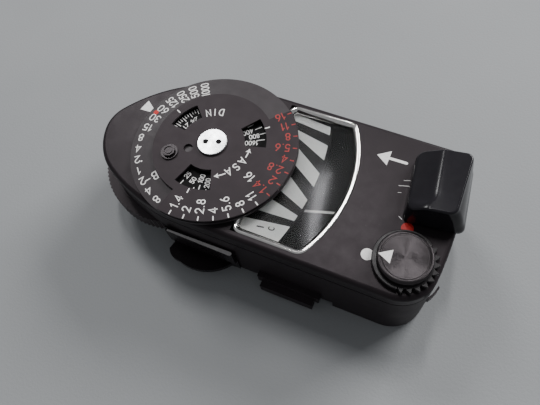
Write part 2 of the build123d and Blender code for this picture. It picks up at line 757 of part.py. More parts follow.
with BuildPart() as switch_slider:
    with BuildSketch(Plane.XZ.offset(-SLIDER_L / 2)):
        with BuildLine():
            Line((SLIDER_LEFT[0], SLIDER_LOW), (SLIDER_SKIRT, SLIDER_LOW))
            Line((SLIDER_SKIRT, SLIDER_LOW), (SLIDER_SKIRT - 0.3, SLIDER_LOW + 2.0))
            Line((SLIDER_SKIRT - 0.3, SLIDER_LOW + 2.0), SLIDER_BROW)
            Line(SLIDER_BROW, SLIDER_RIDGE)
            ThreePointArc(SLIDER_RIDGE, (-2.9, 25.95), SLIDER_LEFT)
            Line(SLIDER_LEFT, (SLIDER_LEFT[0], SLIDER_LOW))
        make_face()
    extrude(amount=SLIDER_L)
    fillet(switch_slider.edges().filter_by(Axis.Z), 1.8)
switch_slider.part = Pos(*SLIDER_AT, 0) * Rot(0, 0, SLIDER_TURN) * switch_slider.part
with switch_slider:
    with BuildSketch(Plane.XY.offset(SLIDER_LOW - 0.05)):
        with Locations(*STEM_SCREWS):
            Circle(0.5)
    extrude(amount=1.6, mode=Mode.SUBTRACT)
save(switch_slider.part, "switch_slider")

with BuildPart() as slide_plate:
    with BuildSketch(Plane.XY.offset(18.9)):
        with Locations((SPRING_X[1], 7.4)):
            Rectangle(7.4, 7.2, align=(Align.MIN, Align.CENTER))
    extrude(amount=0.5)
    with BuildSketch(Plane.XY.offset(19.4)):
        with Locations(STEM_AT):
            SlotOverall(3.6, 2.2)
    extrude(amount=21.05 - 19.4)
    with BuildSketch(Plane.XY.offset(18.0)):
        with Locations((SPRING_X[1], SPRING_Y)):
            Rectangle(0.6, 1.8, align=(Align.MIN, Align.CENTER))
    extrude(amount=1.0)
    with BuildSketch(Plane.XY.offset(18.9)):
        with Locations(*STEM_SCREWS):
            Circle(0.5)
    extrude(amount=2.2, mode=Mode.SUBTRACT)
save(slide_plate.part, "slide_plate")

with BuildPart() as switch_screws:
    for at in STEM_SCREWS:
        with BuildSketch(Plane.XY.offset(18.4)):
            with Locations(at):
                Circle(0.8)
        extrude(amount=0.5)
        with BuildSketch(Plane.XY.offset(18.8)):
            with Locations(at):
                Circle(0.5)
        extrude(amount=3.6)
save(switch_screws.part, "switch_screws")

with BuildPart() as return_spring:
    with BuildLine():
        coil = Helix(
            pitch=0.86,
            height=SPRING_X[1] - SPRING_X[0] - 0.24,
            radius=0.55,
            center=(SPRING_X[0] + 0.12, SPRING_Y, SPRING_Z),
            direction=(1, 0, 0),
        )
    with BuildSketch(Plane(origin=coil @ 0, z_dir=coil % 0)):
        Circle(0.11)
    sweep(is_frenet=True)
save(return_spring.part, "return_spring")

# ================================================================ range knob
KNOB_R = 5.2
FLANGE_R = 6.0
TOOTH_ROOT_R = 5.55
TOOTH_TIP_R = 6.5
TOOTH_PITCH = 15.0
TOOTH_COUNT = 9
FIRST_TOOTH = 41.0

with BuildPart() as range_knob:
    with BuildSketch(Plane.XY.offset(21.05)):
        with Locations(KNOB):
            Circle(FLANGE_R)
        with BuildSketch(mode=Mode.SUBTRACT):
            with BuildLine():
                toothed_from = FIRST_TOOTH + TOOTH_PITCH / 2
                toothed_to = toothed_from - TOOTH_PITCH * TOOTH_COUNT
                toothed_mid = (toothed_from + toothed_to) / 2
                ThreePointArc(*[
                    polar(TOOTH_ROOT_R, a, KNOB) for a in (toothed_from, toothed_mid, toothed_to)
                ])
                Line(polar(TOOTH_ROOT_R, toothed_to, KNOB), polar(TOOTH_TIP_R, toothed_to, KNOB))
                ThreePointArc(*[
                    polar(TOOTH_TIP_R, a, KNOB) for a in (toothed_to, toothed_mid, toothed_from)
                ])
                Line(polar(TOOTH_TIP_R, toothed_from, KNOB), polar(TOOTH_ROOT_R, toothed_from, KNOB))
            make_face()
        for k in range(TOOTH_COUNT):
            tip = FIRST_TOOTH - TOOTH_PITCH * k
            with BuildLine():
                Polyline(
                    polar(TOOTH_ROOT_R - 0.3, tip + 6.5, KNOB),
                    polar(TOOTH_TIP_R, tip + 1.2, KNOB),
                    polar(TOOTH_TIP_R, tip - 1.2, KNOB),
                    polar(TOOTH_ROOT_R - 0.3, tip - 6.5, KNOB),
                    close=True,
                )
            make_face()
    extrude(amount=1.0)
    with BuildSketch(Plane.XY.offset(22.05)):
        with Locations(KNOB):
            Circle(KNOB_R)
    extrude(amount=1.4)
    with BuildSketch(Plane.XY.offset(21.05)):
        with Locations(KNOB):
            Circle(SHAFT_R)
    extrude(amount=1.6, mode=Mode.SUBTRACT)
save(range_knob.part, "range_knob")

with BuildPart() as knob_shaft:
    with BuildSketch(Plane.XY.offset(17.2)):
        with Locations(KNOB):
            Circle(SHAFT_R)
    extrude(amount=22.65 - 17.2)
save(knob_shaft.part, "knob_shaft")

with BuildPart() as range_wiper:
    with BuildSketch(Plane.XY.offset(17.2)):
        with Locations(KNOB):
            Circle(2.6)
            Circle(SHAFT_R, mode=Mode.SUBTRACT)
        with Locations((KNOB[0], KNOB[1] - 3.0)):
            Rectangle(1.0, 2.0)
    extrude(amount=0.5)
save(range_wiper.part, "range_wiper")

with BuildPart() as knob_washer:
    with BuildSketch(Plane.XY.offset(18.9)):
        with Locations(KNOB):
            Circle(2.3)
            Circle(SHAFT_R + 0.2, mode=Mode.SUBTRACT)
    extrude(amount=Z_COVER - COVER_T - 18.9)
save(knob_washer.part, "knob_washer")

CORNER = (X_END - NEAR_CORNER_R - 0.1, NEAR_CORNER_R - HALF_WIDTH)
LUG_PROUD = 0.35

with BuildPart() as corner_lug:
    with BuildSketch(Plane.XY.offset(17.0)):
        with BuildLine():
            ThreePointArc(*[polar(NEAR_CORNER_R, a, CORNER) for a in (-36, -23, -10)])
            Line(polar(NEAR_CORNER_R, -10, CORNER), polar(NEAR_CORNER_R + LUG_PROUD, -12, CORNER))
            ThreePointArc(*[polar(NEAR_CORNER_R + LUG_PROUD, a, CORNER) for a in (-12, -23, -34)])
            Line(polar(NEAR_CORNER_R + LUG_PROUD, -34, CORNER), polar(NEAR_CORNER_R, -36, CORNER))
        make_face()
    extrude(amount=2.2)
save(corner_lug.part, "corner_lug")

# ================================================================ electrics
with BuildPart() as circuit_board:
    with BuildSketch(Plane.XY.offset(9.0)):
        with Locations((-0.3, 0)):
            RectangleRounded(17.0, 28.0, 1.0)
    extrude(amount=0.8)
save(circuit_board.part, "circuit_board")

with BuildPart() as resistors:
    for x in (-7.0, -4.4, -1.8, 0.8):
        with BuildSketch(Plane.XZ.offset(-7.0)):
            with Locations((x, 11.0)):
                Circle(0.9)
        extrude(amount=6.0)
        with BuildSketch(Plane.XZ.offset(-8.2)):
            with Locations((x, 11.0)):
                Circle(0.3)
        extrude(amount=8.4)
        with BuildSketch(Plane.XY.offset(9.8)):
            with Locations((x, 8.0), (x, 0.0)):
                Circle(0.3)
        extrude(amount=1.2)
save(resistors.part, "resistors")

with BuildPart() as trimmer:
    with BuildSketch(Plane.XY.offset(9.8)):
        with Locations((2.0, -6.5)):
            Circle(3.0)
    extrude(amount=2.0)
    with BuildSketch(Plane.XY.offset(11.2)):
        with Locations((2.0, -6.5)):
            Rectangle(4.0, 0.6)
    extrude(amount=0.7, mode=Mode.SUBTRACT)
save(trimmer.part, "trimmer")

with BuildPart() as switch_contacts:
    with BuildSketch(Plane.XY.offset(9.8)):
        with Locations((5.0, 8.0)):
            Rectangle(3.0, 5.0)
    extrude(amount=3.2)
    with BuildSketch(Plane.XY.offset(13.0)):
        with Locations((4.6, 7.0), (4.6, 9.0)):
            Rectangle(0.3, 1.2)
    extrude(amount=3.0)
save(switch_contacts.part, "switch_contacts")

# ================================================================ battery
with BuildPart() as battery_chamber:
    with BuildSketch(Plane.XY.offset(1.1)):
        with Locations((X_MOVE, 0)):
            Circle(CHAMBER_R)
    extrude(amount=CHAMBER_TOP - 1.1)
    with BuildSketch(Plane.XY.offset(1.1)):
        with Locations((X_MOVE, 0)):
            Circle(CELL_R + 0.15)
    extrude(amount=6.8, mode=Mode.SUBTRACT)
save(battery_chamber.part, "battery_chamber")

with BuildPart() as battery_cell:
    with BuildSketch(Plane.XY.offset(1.75)):
        with Locations((X_MOVE, 0)):
            Circle(CELL_R)
    extrude(amount=CELL_H - 0.6)
    fillet(battery_cell.faces().sort_by(Axis.Z)[0].edges(), 0.6)
    with BuildSketch(Plane.XY.offset(1.75 + CELL_H - 0.6)):
        with Locations((X_MOVE, 0)):
            Circle(5.6)
    extrude(amount=0.5)
save(battery_cell.part, "battery_cell")

with BuildPart() as battery_contact:
    with BuildSketch(Plane.XY.offset(7.65)):
        with Locations((X_MOVE, 0)):
            Circle(3.2)
    extrude(amount=0.25)
save(battery_contact.part, "battery_contact")

CAP_R = CHAMBER_R - 0.1

with BuildPart() as battery_cover:
    with BuildSketch(Plane.XY.offset(0.1)):
        with Locations((X_MOVE, 0)):
            Circle(CAP_R)
    extrude(amount=0.9)
    with BuildSketch(Plane.XY.offset(1.0)):
        with Locations((X_MOVE, 0)):
            Circle(CELL_R + 0.09)
    extrude(amount=0.7)
    with BuildSketch(Plane.XY.offset(0.1)):
        with Locations((X_MOVE, 0)):
            SlotOverall(11.0, 1.6, rotation=35)
    extrude(amount=0.8, mode=Mode.SUBTRACT)
save(battery_cover.part, "battery_cover")

# ================================================================ moving-coil movement
with BuildPart() as movement_base:
    with BuildSketch(Plane.XY.offset(CHAMBER_TOP)):
        with Locations((X_MOVE, 0)):
            Circle(YOKE_R)
            Circle(0.4, mode=Mode.SUBTRACT)
    extrude(amount=1.0)
save(movement_base.part, "movement_base")

with BuildPart() as movement_yoke:
    with BuildSketch(Plane.XY.offset(CHAMBER_TOP + 1.0)):
        with Locations((X_MOVE, 0)):
            Circle(YOKE_R)
            Circle(YOKE_BORE, mode=Mode.SUBTRACT)
    extrude(amount=7.0)
save(movement_yoke.part, "movement_yoke")

with BuildPart() as movement_core:
    with BuildSketch(Plane.XY.offset(10.95)):
        with Locations((X_MOVE, 0)):
            Circle(CORE_R)
    extrude(amount=4.0)
    with BuildSketch(Plane.XY.offset(12.0)):
        with Locations((X_MOVE, 0)):
            Rectangle(2 * YOKE_BORE - 0.1, 1.6)
    extrude(amount=2.0)
save(movement_core.part, "movement_core")

with BuildPart() as movement_bridge:
    with BuildSketch(Plane.XY.offset(18.0)):
        with Locations((X_MOVE - 1.3, 0)):
            Rectangle(9.2, 2.4, align=(Align.MIN, Align.CENTER))
    extrude(amount=0.6)
    with BuildSketch(Plane.XY.offset(16.6)):
        with Locations((X_MOVE + 6.3, 0)):
            Rectangle(1.6, 2.4, align=(Align.MIN, Align.CENTER))
    extrude(amount=1.4)
    with BuildSketch(Plane.XY.offset(17.9)):
        with Locations((X_MOVE, 0)):
            Circle(0.4)
    extrude(amount=0.5, mode=Mode.SUBTRACT)
save(movement_bridge.part, "movement_bridge")

coil_turn = 90 + NEEDLE_REST
coil_along = Vector(*polar(1, coil_turn), 0)
coil_across = Vector(*polar(1, coil_turn - 90), 0)
coil_plane = Plane(
    origin=Vector(X_MOVE, 0, 12.95) - coil_across * 0.5,
    x_dir=coil_along,
    z_dir=coil_across,
)

with BuildPart() as moving_coil:
    with BuildSketch(coil_plane):
        RectangleRounded(11.2, 6.0, 0.6)
        Rectangle(9.4, 4.5, mode=Mode.SUBTRACT)
    extrude(amount=1.0)
save(moving_coil.part, "moving_coil")

with BuildPart() as needle_arbor:
    for low, height in ((15.95, 2.4), (8.8, 1.15)):
        with BuildSketch(Plane.XY.offset(low)):
            with Locations((X_MOVE, 0)):
                Circle(0.33)
        extrude(amount=height)
save(needle_arbor.part, "needle_arbor")

with BuildPart() as needle:
    with BuildSketch(Plane.XY.offset(NEEDLE_Z)):
        with Locations(Location((X_MOVE, 0), 180 + NEEDLE_REST)):
            Rectangle(NEEDLE_LEN, 0.22, align=(Align.MIN, Align.CENTER))
            with Locations((-2.6, 0)):
                Rectangle(4.4, 0.35)
            with Locations((-4.4, 0)):
                Circle(0.55)
        with Locations((X_MOVE, 0)):
            Circle(0.9)
            Circle(0.33, mode=Mode.SUBTRACT)
    extrude(amount=0.14)
save(needle.part, "needle")

HAIR_TURNS = 2.5
HAIR_R = (0.9, 3.0)
HAIR_T = 0.12

hair_points = []
for k in range(31):
    share = k / 30
    radius = HAIR_R[0] + (HAIR_R[1] - HAIR_R[0]) * share
    hair_points.append((radius, 360 * HAIR_TURNS * share))

with BuildPart() as hairspring:
    with BuildSketch(Plane.XY.offset(16.95)):
        with BuildLine():
            outside = Spline(*[polar(r + HAIR_T / 2, a, (X_MOVE, 0)) for r, a in hair_points])
            inside = Spline(*[polar(r - HAIR_T / 2, a, (X_MOVE, 0)) for r, a in hair_points])
            Line(outside @ 0, inside @ 0)
            Line(outside @ 1, inside @ 1)
        make_face()
    extrude(amount=0.25)
save(hairspring.part, "hairspring")
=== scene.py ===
"""Looks for the handheld light meter: materials, lettering, fitted meshes, lights and camera.

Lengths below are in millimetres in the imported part's own frame, and mm() turns them into metres.
"""

import math

import bmesh
import bpy
from mathutils import Matrix, Vector


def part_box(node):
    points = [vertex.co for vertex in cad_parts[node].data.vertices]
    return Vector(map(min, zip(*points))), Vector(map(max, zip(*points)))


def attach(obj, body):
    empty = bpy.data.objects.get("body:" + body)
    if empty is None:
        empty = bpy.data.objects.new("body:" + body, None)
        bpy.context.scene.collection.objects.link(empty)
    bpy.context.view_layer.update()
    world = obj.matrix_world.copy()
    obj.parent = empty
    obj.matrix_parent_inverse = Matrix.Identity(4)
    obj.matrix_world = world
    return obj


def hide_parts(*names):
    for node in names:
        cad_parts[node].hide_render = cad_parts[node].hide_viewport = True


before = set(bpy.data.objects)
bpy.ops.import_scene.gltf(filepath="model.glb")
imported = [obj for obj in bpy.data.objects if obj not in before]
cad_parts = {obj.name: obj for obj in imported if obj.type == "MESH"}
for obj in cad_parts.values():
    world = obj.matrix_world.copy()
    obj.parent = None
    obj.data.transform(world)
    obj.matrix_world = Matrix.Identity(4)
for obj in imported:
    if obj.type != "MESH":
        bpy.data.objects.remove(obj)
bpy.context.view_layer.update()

MM = 0.001


# ---------------------------------------------------------------- places taken from the frame
def low(node, axis):
    """The lowest coordinate of a CAD node along an axis, in millimetres."""
    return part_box(node)[0][axis] / MM


def high(node, axis):
    """The highest coordinate of a CAD node along an axis, in millimetres."""
    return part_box(node)[1][axis] / MM


def middle(node, axis):
    """The middle of a CAD node along an axis, in millimetres."""
    return (low(node, axis) + high(node, axis)) / 2


X, Y, Z = 0, 1, 2

DIAL_X = middle("speed_dial", X)
DIAL_R = (high("speed_dial", X) - low("speed_dial", X)) / 2
DIAL_FLAT = high("speed_dial", Z)
STEP_R = 13.2                        # where the speed dial's cone begins
RIM_DROP = 0.5                       # how far the cone falls to the rim
APERTURE_TOP = high("aperture_dial", Z)
SCALE_TOP = high("film_speed_scale", Z)
COVER_TOP = high("top_cover", Z)
STOP = 9.84                          # degrees of dial per exposure stop

KNOB_X = middle("knob_shaft", X)
KNOB_Y = middle("knob_shaft", Y)
KNOB_LOW = low("range_knob", Z)
KNOB_TOP = high("range_knob", Z)

FRAME_LOW = low("window_frame", Z)
FRAME_TOP = high("window_frame", Z)
WINDOW_HALF = high("window_frame", Y)
WINDOW_LEFT = low("window_frame", X) - DIAL_X
WINDOW_ARC_R = high("window_frame", X) - DIAL_X
RAIL = WINDOW_HALF - high("window_glass", Y)
LANE_TOP = high("lane_plate", Z)


def polar(radius, degrees, centre):
    """A point at that radius and angle about a centre."""
    angle = math.radians(degrees)
    return (centre[0] + radius * math.cos(angle), centre[1] + radius * math.sin(angle))


def arc(cx, cy, rx, ry, first, last):
    """Points on an ellipse's arc, angles in degrees."""
    steps = 10
    points = []
    for k in range(steps + 1):
        angle = math.radians(first + (last - first) * k / steps)
        points.append((cx + rx * math.cos(angle), cy + ry * math.sin(angle)))
    return points


# ---------------------------------------------------------------- materials
class Shader:
    """A node material built a step at a time around one Principled shader."""

    def __init__(self, name):
        self.material = bpy.data.materials.new(name)
        self.material.use_nodes = True
        self.tree = self.material.node_tree
        self.main = self.tree.nodes["Principled BSDF"]
        self.place = self.tree.nodes.new("ShaderNodeTexCoord").outputs["Object"]

    def set(self, **values):
        """Constants on the shader's own sockets; an underscore stands for a space."""
        for name, value in values.items():
            socket = self.main.inputs[name.replace("_", " ")]
            socket.default_value = (*value, 1.0) if isinstance(value, tuple) else value
        return self

    def noise(self, size_mm, detail=3.0, rough=0.55, stretch=(1.0, 1.0, 1.0), shift=0.0):
        """Noise with features of about that size."""
        mapping = self.tree.nodes.new("ShaderNodeMapping")
        mapping.inputs["Scale"].default_value = stretch
        mapping.inputs["Location"].default_value = (shift, shift, shift)
        self.tree.links.new(self.place, mapping.inputs["Vector"])
        node = self.tree.nodes.new("ShaderNodeTexNoise")
        node.inputs["Scale"].default_value = 1.0 / (size_mm * MM)
        node.inputs["Detail"].default_value = detail
        node.inputs["Roughness"].default_value = rough
        self.tree.links.new(mapping.outputs["Vector"], node.inputs["Vector"])
        return node.outputs["Fac"]

    def rings(self, centre, spacing_mm):
        """Fine turned rings about an upright axis at a centre in millimetres."""
        shift = self.tree.nodes.new("ShaderNodeVectorMath")
        shift.operation = "SUBTRACT"
        shift.inputs[1].default_value = (centre[0] * MM, centre[1] * MM, 0.0)
        self.tree.links.new(self.place, shift.inputs[0])
        flat = self.tree.nodes.new("ShaderNodeVectorMath")
        flat.operation = "MULTIPLY"
        flat.inputs[1].default_value = (1.0, 1.0, 0.0)
        self.tree.links.new(shift.outputs[0], flat.inputs[0])
        length = self.tree.nodes.new("ShaderNodeVectorMath")
        length.operation = "LENGTH"
        self.tree.links.new(flat.outputs[0], length.inputs[0])
        turns = self.math("MULTIPLY", length.outputs["Value"], 2 * math.pi / (spacing_mm * MM))
        return self.math("SINE", turns, 0.0)

    def math(self, operation, first, second):
        """One maths node on two values or sockets."""
        node = self.tree.nodes.new("ShaderNodeMath")
        node.operation = operation
        for socket, value in zip(node.inputs, (first, second)):
            if isinstance(value, (int, float)):
                socket.default_value = value
            else:
                self.tree.links.new(value, socket)
        return node.outputs[0]

    def spread(self, socket, low_in, high_in, low_out, high_out):
        """A value moved from one range into another, held at its ends."""
        node = self.tree.nodes.new("ShaderNodeMapRange")
        ends = {"From Min": low_in, "From Max": high_in, "To Min": low_out, "To Max": high_out}
        for name, value in ends.items():
            node.inputs[name].default_value = value
        self.tree.links.new(socket, node.inputs["Value"])
        return node.outputs["Result"]

    def colours(self, socket, *stops):
        """A colour ramp: each stop is (position, colour)."""
        node = self.tree.nodes.new("ShaderNodeValToRGB")
        ramp = node.color_ramp
        while len(ramp.elements) < len(stops):
            ramp.elements.new(0.5)
        for element, (position, colour) in zip(ramp.elements, stops):
            element.position = position
            element.color = (*colour, 1.0)
        self.tree.links.new(socket, node.inputs["Fac"])
        return node.outputs["Color"]

    def mix(self, factor, first, second):
        """Two colours mixed by a factor."""
        node = self.tree.nodes.new("ShaderNodeMix")
        node.data_type = "RGBA"
        self.tree.links.new(factor, node.inputs["Factor"])
        for socket, value in ((node.inputs[6], first), (node.inputs[7], second)):
            if isinstance(value, tuple):
                socket.default_value = (*value, 1.0)
            else:
                self.tree.links.new(value, socket)
        return node.outputs[2]

    def to(self, socket, name):
        """Joins a socket to one of the shader's inputs."""
        self.tree.links.new(socket, self.main.inputs[name])
        return self

    def bump(self, socket, depth_mm):
        """Bump of a depth in millimetres from a height between 0 and 1, over any bump set before."""
        node = self.tree.nodes.new("ShaderNodeBump")
        node.inputs["Strength"].default_value = 1.0
        node.inputs["Distance"].default_value = depth_mm * MM
        self.tree.links.new(socket, node.inputs["Height"])
        before = self.main.inputs["Normal"].links
        if before:
            self.tree.links.new(before[0].from_socket, node.inputs["Normal"])
        self.tree.links.new(node.outputs["Normal"], self.main.inputs["Normal"])
        return self

    def radial(self, amount):
        """Anisotropic highlights that fan out from the piece's own upright axis."""
        self.main.inputs["Anisotropic"].default_value = amount
        node = self.tree.nodes.new("ShaderNodeTangent")
        node.direction_type = "RADIAL"
        node.axis = "Z"
        self.tree.links.new(node.outputs["Tangent"], self.main.inputs["Tangent"])
        return self


def black_paint(name, shade, rough, grain_mm=0.22, grain_depth=0.006, dust=0.06):
    """Satin black paint with a fine grain, uneven sheen, faint dust and handling marks."""
    s = Shader(name)
    patches = s.noise(5.0, detail=4.0)
    base = s.colours(patches, (0.3, shade), (0.7, tuple(c * 1.25 for c in shade)))
    specks = s.spread(s.noise(0.35, detail=2.0, shift=0.013), 0.70, 0.78, 0.0, dust)
    s.to(s.mix(specks, base, (0.35, 0.34, 0.33)), "Base Color")
    smudge = s.spread(s.noise(3.0, detail=5.0, rough=0.65), 0.3, 0.7, rough - 0.03, rough + 0.035)
    s.to(smudge, "Roughness")
    s.bump(s.noise(grain_mm, detail=2.0), grain_depth)
    s.set(Specular_IOR_Level=0.17, Specular_Tint=(1.0, 0.9, 0.95))
    return s.material


def turned_black(name, shade, rough, centre, spacing_mm, anisotropy, metallic=0.1):
    """Black anodised metal with fine turned rings."""
    s = Shader(name)
    patches = s.noise(2.5, detail=3.0)
    s.to(s.colours(patches, (0.3, shade), (0.7, tuple(c * 1.3 for c in shade))), "Base Color")
    s.to(s.spread(s.noise(1.2, detail=4.0), 0.3, 0.7, rough - 0.04, rough + 0.06), "Roughness")
    s.set(Metallic=metallic, Specular_IOR_Level=0.3)
    s.bump(s.spread(s.rings(centre, spacing_mm), -1.0, 1.0, 0.0, 1.0), 0.003)
    s.bump(s.noise(0.12, detail=2.0), 0.003)
    if anisotropy:
        s.radial(anisotropy)
    return s.material


def bright_metal(name, colour, rough, grain_mm=0.2, stretch=(1.0, 1.0, 1.0), anisotropy=0.0, tarnish=0.85):
    """Bare or plated metal with a fine grain and slight smudges."""
    s = Shader(name)
    cloud = s.noise(2.0, detail=4.0)
    dull = tuple(c * tarnish for c in colour)
    s.to(s.colours(cloud, (0.35, dull), (0.6, colour)), "Base Color")
    s.to(s.spread(s.noise(0.8, detail=4.0, shift=0.02), 0.3, 0.7, rough * 0.8, rough * 1.3), "Roughness")
    s.set(Metallic=1.0)
    s.bump(s.noise(grain_mm, detail=3.0, stretch=stretch), 0.002)
    if anisotropy:
        s.radial(anisotropy)
    return s.material


def gloss_black(name, shade, rough):
    """Glossy black moulding with fine hairline scratches and rubbed patches."""
    s = Shader(name)
    cloud = s.noise(4.0, detail=3.0)
    s.to(s.colours(cloud, (0.3, shade), (0.7, tuple(c * 1.3 for c in shade))), "Base Color")
    hair = s.noise(0.25, detail=2.0, stretch=(0.06, 1.0, 1.0))
    rubbed = s.spread(s.noise(1.8, detail=5.0, rough=0.7, shift=0.01), 0.4, 0.75, rough, rough + 0.03)
    s.to(rubbed, "Roughness")
    s.set(Specular_IOR_Level=0.24)
    s.bump(hair, 0.0025)
    return s.material


def ink(name, colour, wear):
    """Paint filled into engraved lettering, a little uneven and worn."""
    s = Shader(name)
    worn = tuple(c * (1 - wear) for c in colour)
    s.to(s.colours(s.noise(0.5, detail=3.0), (0.35, worn), (0.6, colour)), "Base Color")
    s.to(s.spread(s.noise(0.3, detail=2.0), 0.3, 0.7, 0.45, 0.62), "Roughness")
    s.bump(s.noise(0.15, detail=2.0), 0.006)
    return s.material


def clear_glass(name, tint, rough):
    """Clear moulded glass with faint waviness and a weak reflection."""
    s = Shader(name)
    s.to(s.colours(s.noise(6.0), (0.3, tint), (0.7, tuple(min(1.0, c * 1.02) for c in tint))), "Base Color")
    s.set(Transmission_Weight=1.0, IOR=1.49, Specular_Tint=(0.12, 0.12, 0.125))
    s.to(s.spread(s.noise(1.5, detail=4.0), 0.35, 0.75, rough, rough + 0.03), "Roughness")
    s.bump(s.noise(4.0, detail=1.0), 0.01)
    return s.material


def dull_piece(name, shade, rough, metallic=0.0, shine=0.5):
    """An inner piece's plain finish: uneven colour and a fine grain."""
    s = Shader(name)
    cloud = s.noise(1.5, detail=4.0)
    s.to(s.colours(cloud, (0.3, tuple(c * 0.8 for c in shade)), (0.7, shade)), "Base Color")
    s.to(s.spread(s.noise(0.7, detail=3.0), 0.3, 0.7, rough - 0.06, rough + 0.08), "Roughness")
    s.set(Metallic=metallic, Specular_IOR_Level=shine)
    s.bump(s.noise(0.4, detail=2.0), 0.006)
    return s.material


COVER = black_paint("cover paint", (0.0145, 0.0115, 0.013), 0.38)
HOOD = black_paint("hood paint", (0.008, 0.006, 0.007), 0.27)
HOUSING = black_paint("housing paint", (0.018, 0.014, 0.016), 0.46)
DIAL = black_paint(
    "aperture dial paint", (0.021, 0.0165, 0.0185), 0.46, grain_mm=0.15, grain_depth=0.004, dust=0.04
)
RING = turned_black("speed dial finish", (0.032, 0.0265, 0.029), 0.42, (DIAL_X, 0.0), 0.16, 0.0)
STUD = black_paint("stud finish", (0.008, 0.0065, 0.0072), 0.24)
KNOB = turned_black("knob finish", (0.045, 0.04, 0.042), 0.36, (KNOB_X, KNOB_Y), 0.14, 0.98, metallic=0.9)
TEETH = turned_black("knob teeth finish", (0.014, 0.012, 0.013), 0.36, (KNOB_X, KNOB_Y), 0.3, 0.0)
WHEEL = black_paint("wheel finish", (0.04, 0.034, 0.036), 0.34, dust=0.12)
SLIDER = gloss_black("slider gloss", (0.011, 0.010, 0.0125), 0.17)
CHROME = bright_metal("chrome", (0.9, 0.87, 0.84), 0.09, grain_mm=0.5, tarnish=0.93)
SPUN = bright_metal("spun aluminium", (0.9, 0.91, 0.92), 0.26, grain_mm=0.15, anisotropy=0.7, tarnish=0.95)
STEEL = bright_metal("ground steel", (0.5, 0.5, 0.51), 0.32, stretch=(0.2, 1.0, 1.0))
BARE = bright_metal("bare aluminium", (0.72, 0.73, 0.74), 0.34, stretch=(0.2, 1.0, 1.0))
BRASS = bright_metal("brass", (0.78, 0.6, 0.3), 0.3)
COPPER = bright_metal("enamelled copper", (0.7, 0.33, 0.16), 0.3, grain_mm=0.12)
PLATED = bright_metal("plated cell", (0.72, 0.72, 0.71), 0.22)
GLASS = clear_glass("window glass", (0.97, 0.98, 0.98), 0.12)
CELL_GLASS = clear_glass("cell window glass", (0.75, 0.77, 0.72), 0.12)
WHITE = ink("white ink", (0.94, 0.92, 0.9), wear=0.14)
RED = ink("orange red ink", (0.4, 0.007, 0.003), wear=0.35)
RED_DOT = ink("red dot paint", (0.55, 0.007, 0.003), wear=0.1)
LANES = ink("lane white", (0.8, 0.79, 0.77), wear=0.06)
LANE_DARK = dull_piece("lane black", (0.012, 0.011, 0.012), 0.5, shine=0.15)
# black of the inner pieces, also used as painted shade over the centre screw's spanner holes
INNER_AND_HOLE_SHADE = dull_piece("inner black and hole shade", (0.006, 0.0055, 0.006), 0.6, shine=0.1)
# finish of the hood ledge's bright strip: partly painted highlight, partly bare worn metal
LEDGE_SHINE_AND_WEAR = dull_piece("ledge highlight and worn edge", (0.7, 0.67, 0.66), 0.35, metallic=0.3)
BOARD = dull_piece("board", (0.33, 0.2, 0.07), 0.5)
PARTS = dull_piece("component body", (0.42, 0.3, 0.18), 0.5)
CELL = dull_piece("cell resin", (0.3, 0.07, 0.03), 0.3)
POINTER = dull_piece("pointer paint", (0.8, 0.78, 0.74), 0.5)

# the CAD nodes that stay as they are, by the material that they take
FINISHES = {
    COVER: ["top_cover", "corner_lug"],
    HOOD: ["cell_hood"],
    HOUSING: ["bottom_housing", "battery_chamber", "battery_cover", "shoe_foot"],
    DIAL: ["aperture_dial"],
    RING: ["speed_dial"],
    STUD: ["stud_collar", "lock_stud"],
    WHEEL: ["coupling_wheel"],
    SPUN: ["centre_screw"],
    BARE: ["movement_bridge", "movement_base"],
    STEEL: [
        "cover_screws", "foot_screws", "bridge_screws", "switch_screws", "wheel_shaft", "knob_shaft",
        "coupling_pin", "dial_spindle", "needle_arbor", "knob_washer", "battery_contact", "return_spring",
        "stud_spring", "movement_yoke", "movement_core",
    ],
    BRASS: ["dial_gear", "wheel_pinion", "dial_hub", "wheel_bush", "gear_bridge", "hairspring"],
    COPPER: ["moving_coil"],
    PLATED: ["battery_cell"],
    CELL_GLASS: ["cell_window"],
    LANE_DARK: ["lane_plate"],
    INNER_AND_HOLE_SHADE: ["film_speed_scale", "backing_plate", "slide_plate", "range_wiper", "switch_contacts"],
    BOARD: ["circuit_board"],
    PARTS: ["resistors", "trimmer"],
    CELL: ["photocell"],
    POINTER: ["needle"],
}

# the width of the round on each seen node's sharp edges
SOFT_EDGES = {
    "aperture_dial": 0.07, "speed_dial": 0.08, "stud_collar": 0.08, "lock_stud": 0.1, "centre_screw": 0.05,
    "shoe_foot": 0.15, "cell_hood": 0.2, "corner_lug": 0.1, "top_cover": 0.08, "bottom_housing": 0.1,
    "coupling_pin": 0.05, "battery_cover": 0.12, "cover_screws": 0.08, "foot_screws": 0.08,
}


def finish_nodes():
    """Gives each CAD node that stays its material, and the seen ones a small round on their sharp edges."""
    for material, nodes in FINISHES.items():
        for node in nodes:
            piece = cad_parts[node]
            piece.data.materials.clear()
            piece.data.materials.append(material)
    for node, width in SOFT_EDGES.items():
        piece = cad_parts[node]
        bevel = piece.modifiers.new("soft edges", "BEVEL")
        bevel.width = width * MM
        bevel.segments = 2
        bevel.limit_method = "ANGLE"
        bevel.angle_limit = math.radians(40)
        bevel.use_clamp_overlap = True
        bevel.harden_normals = False


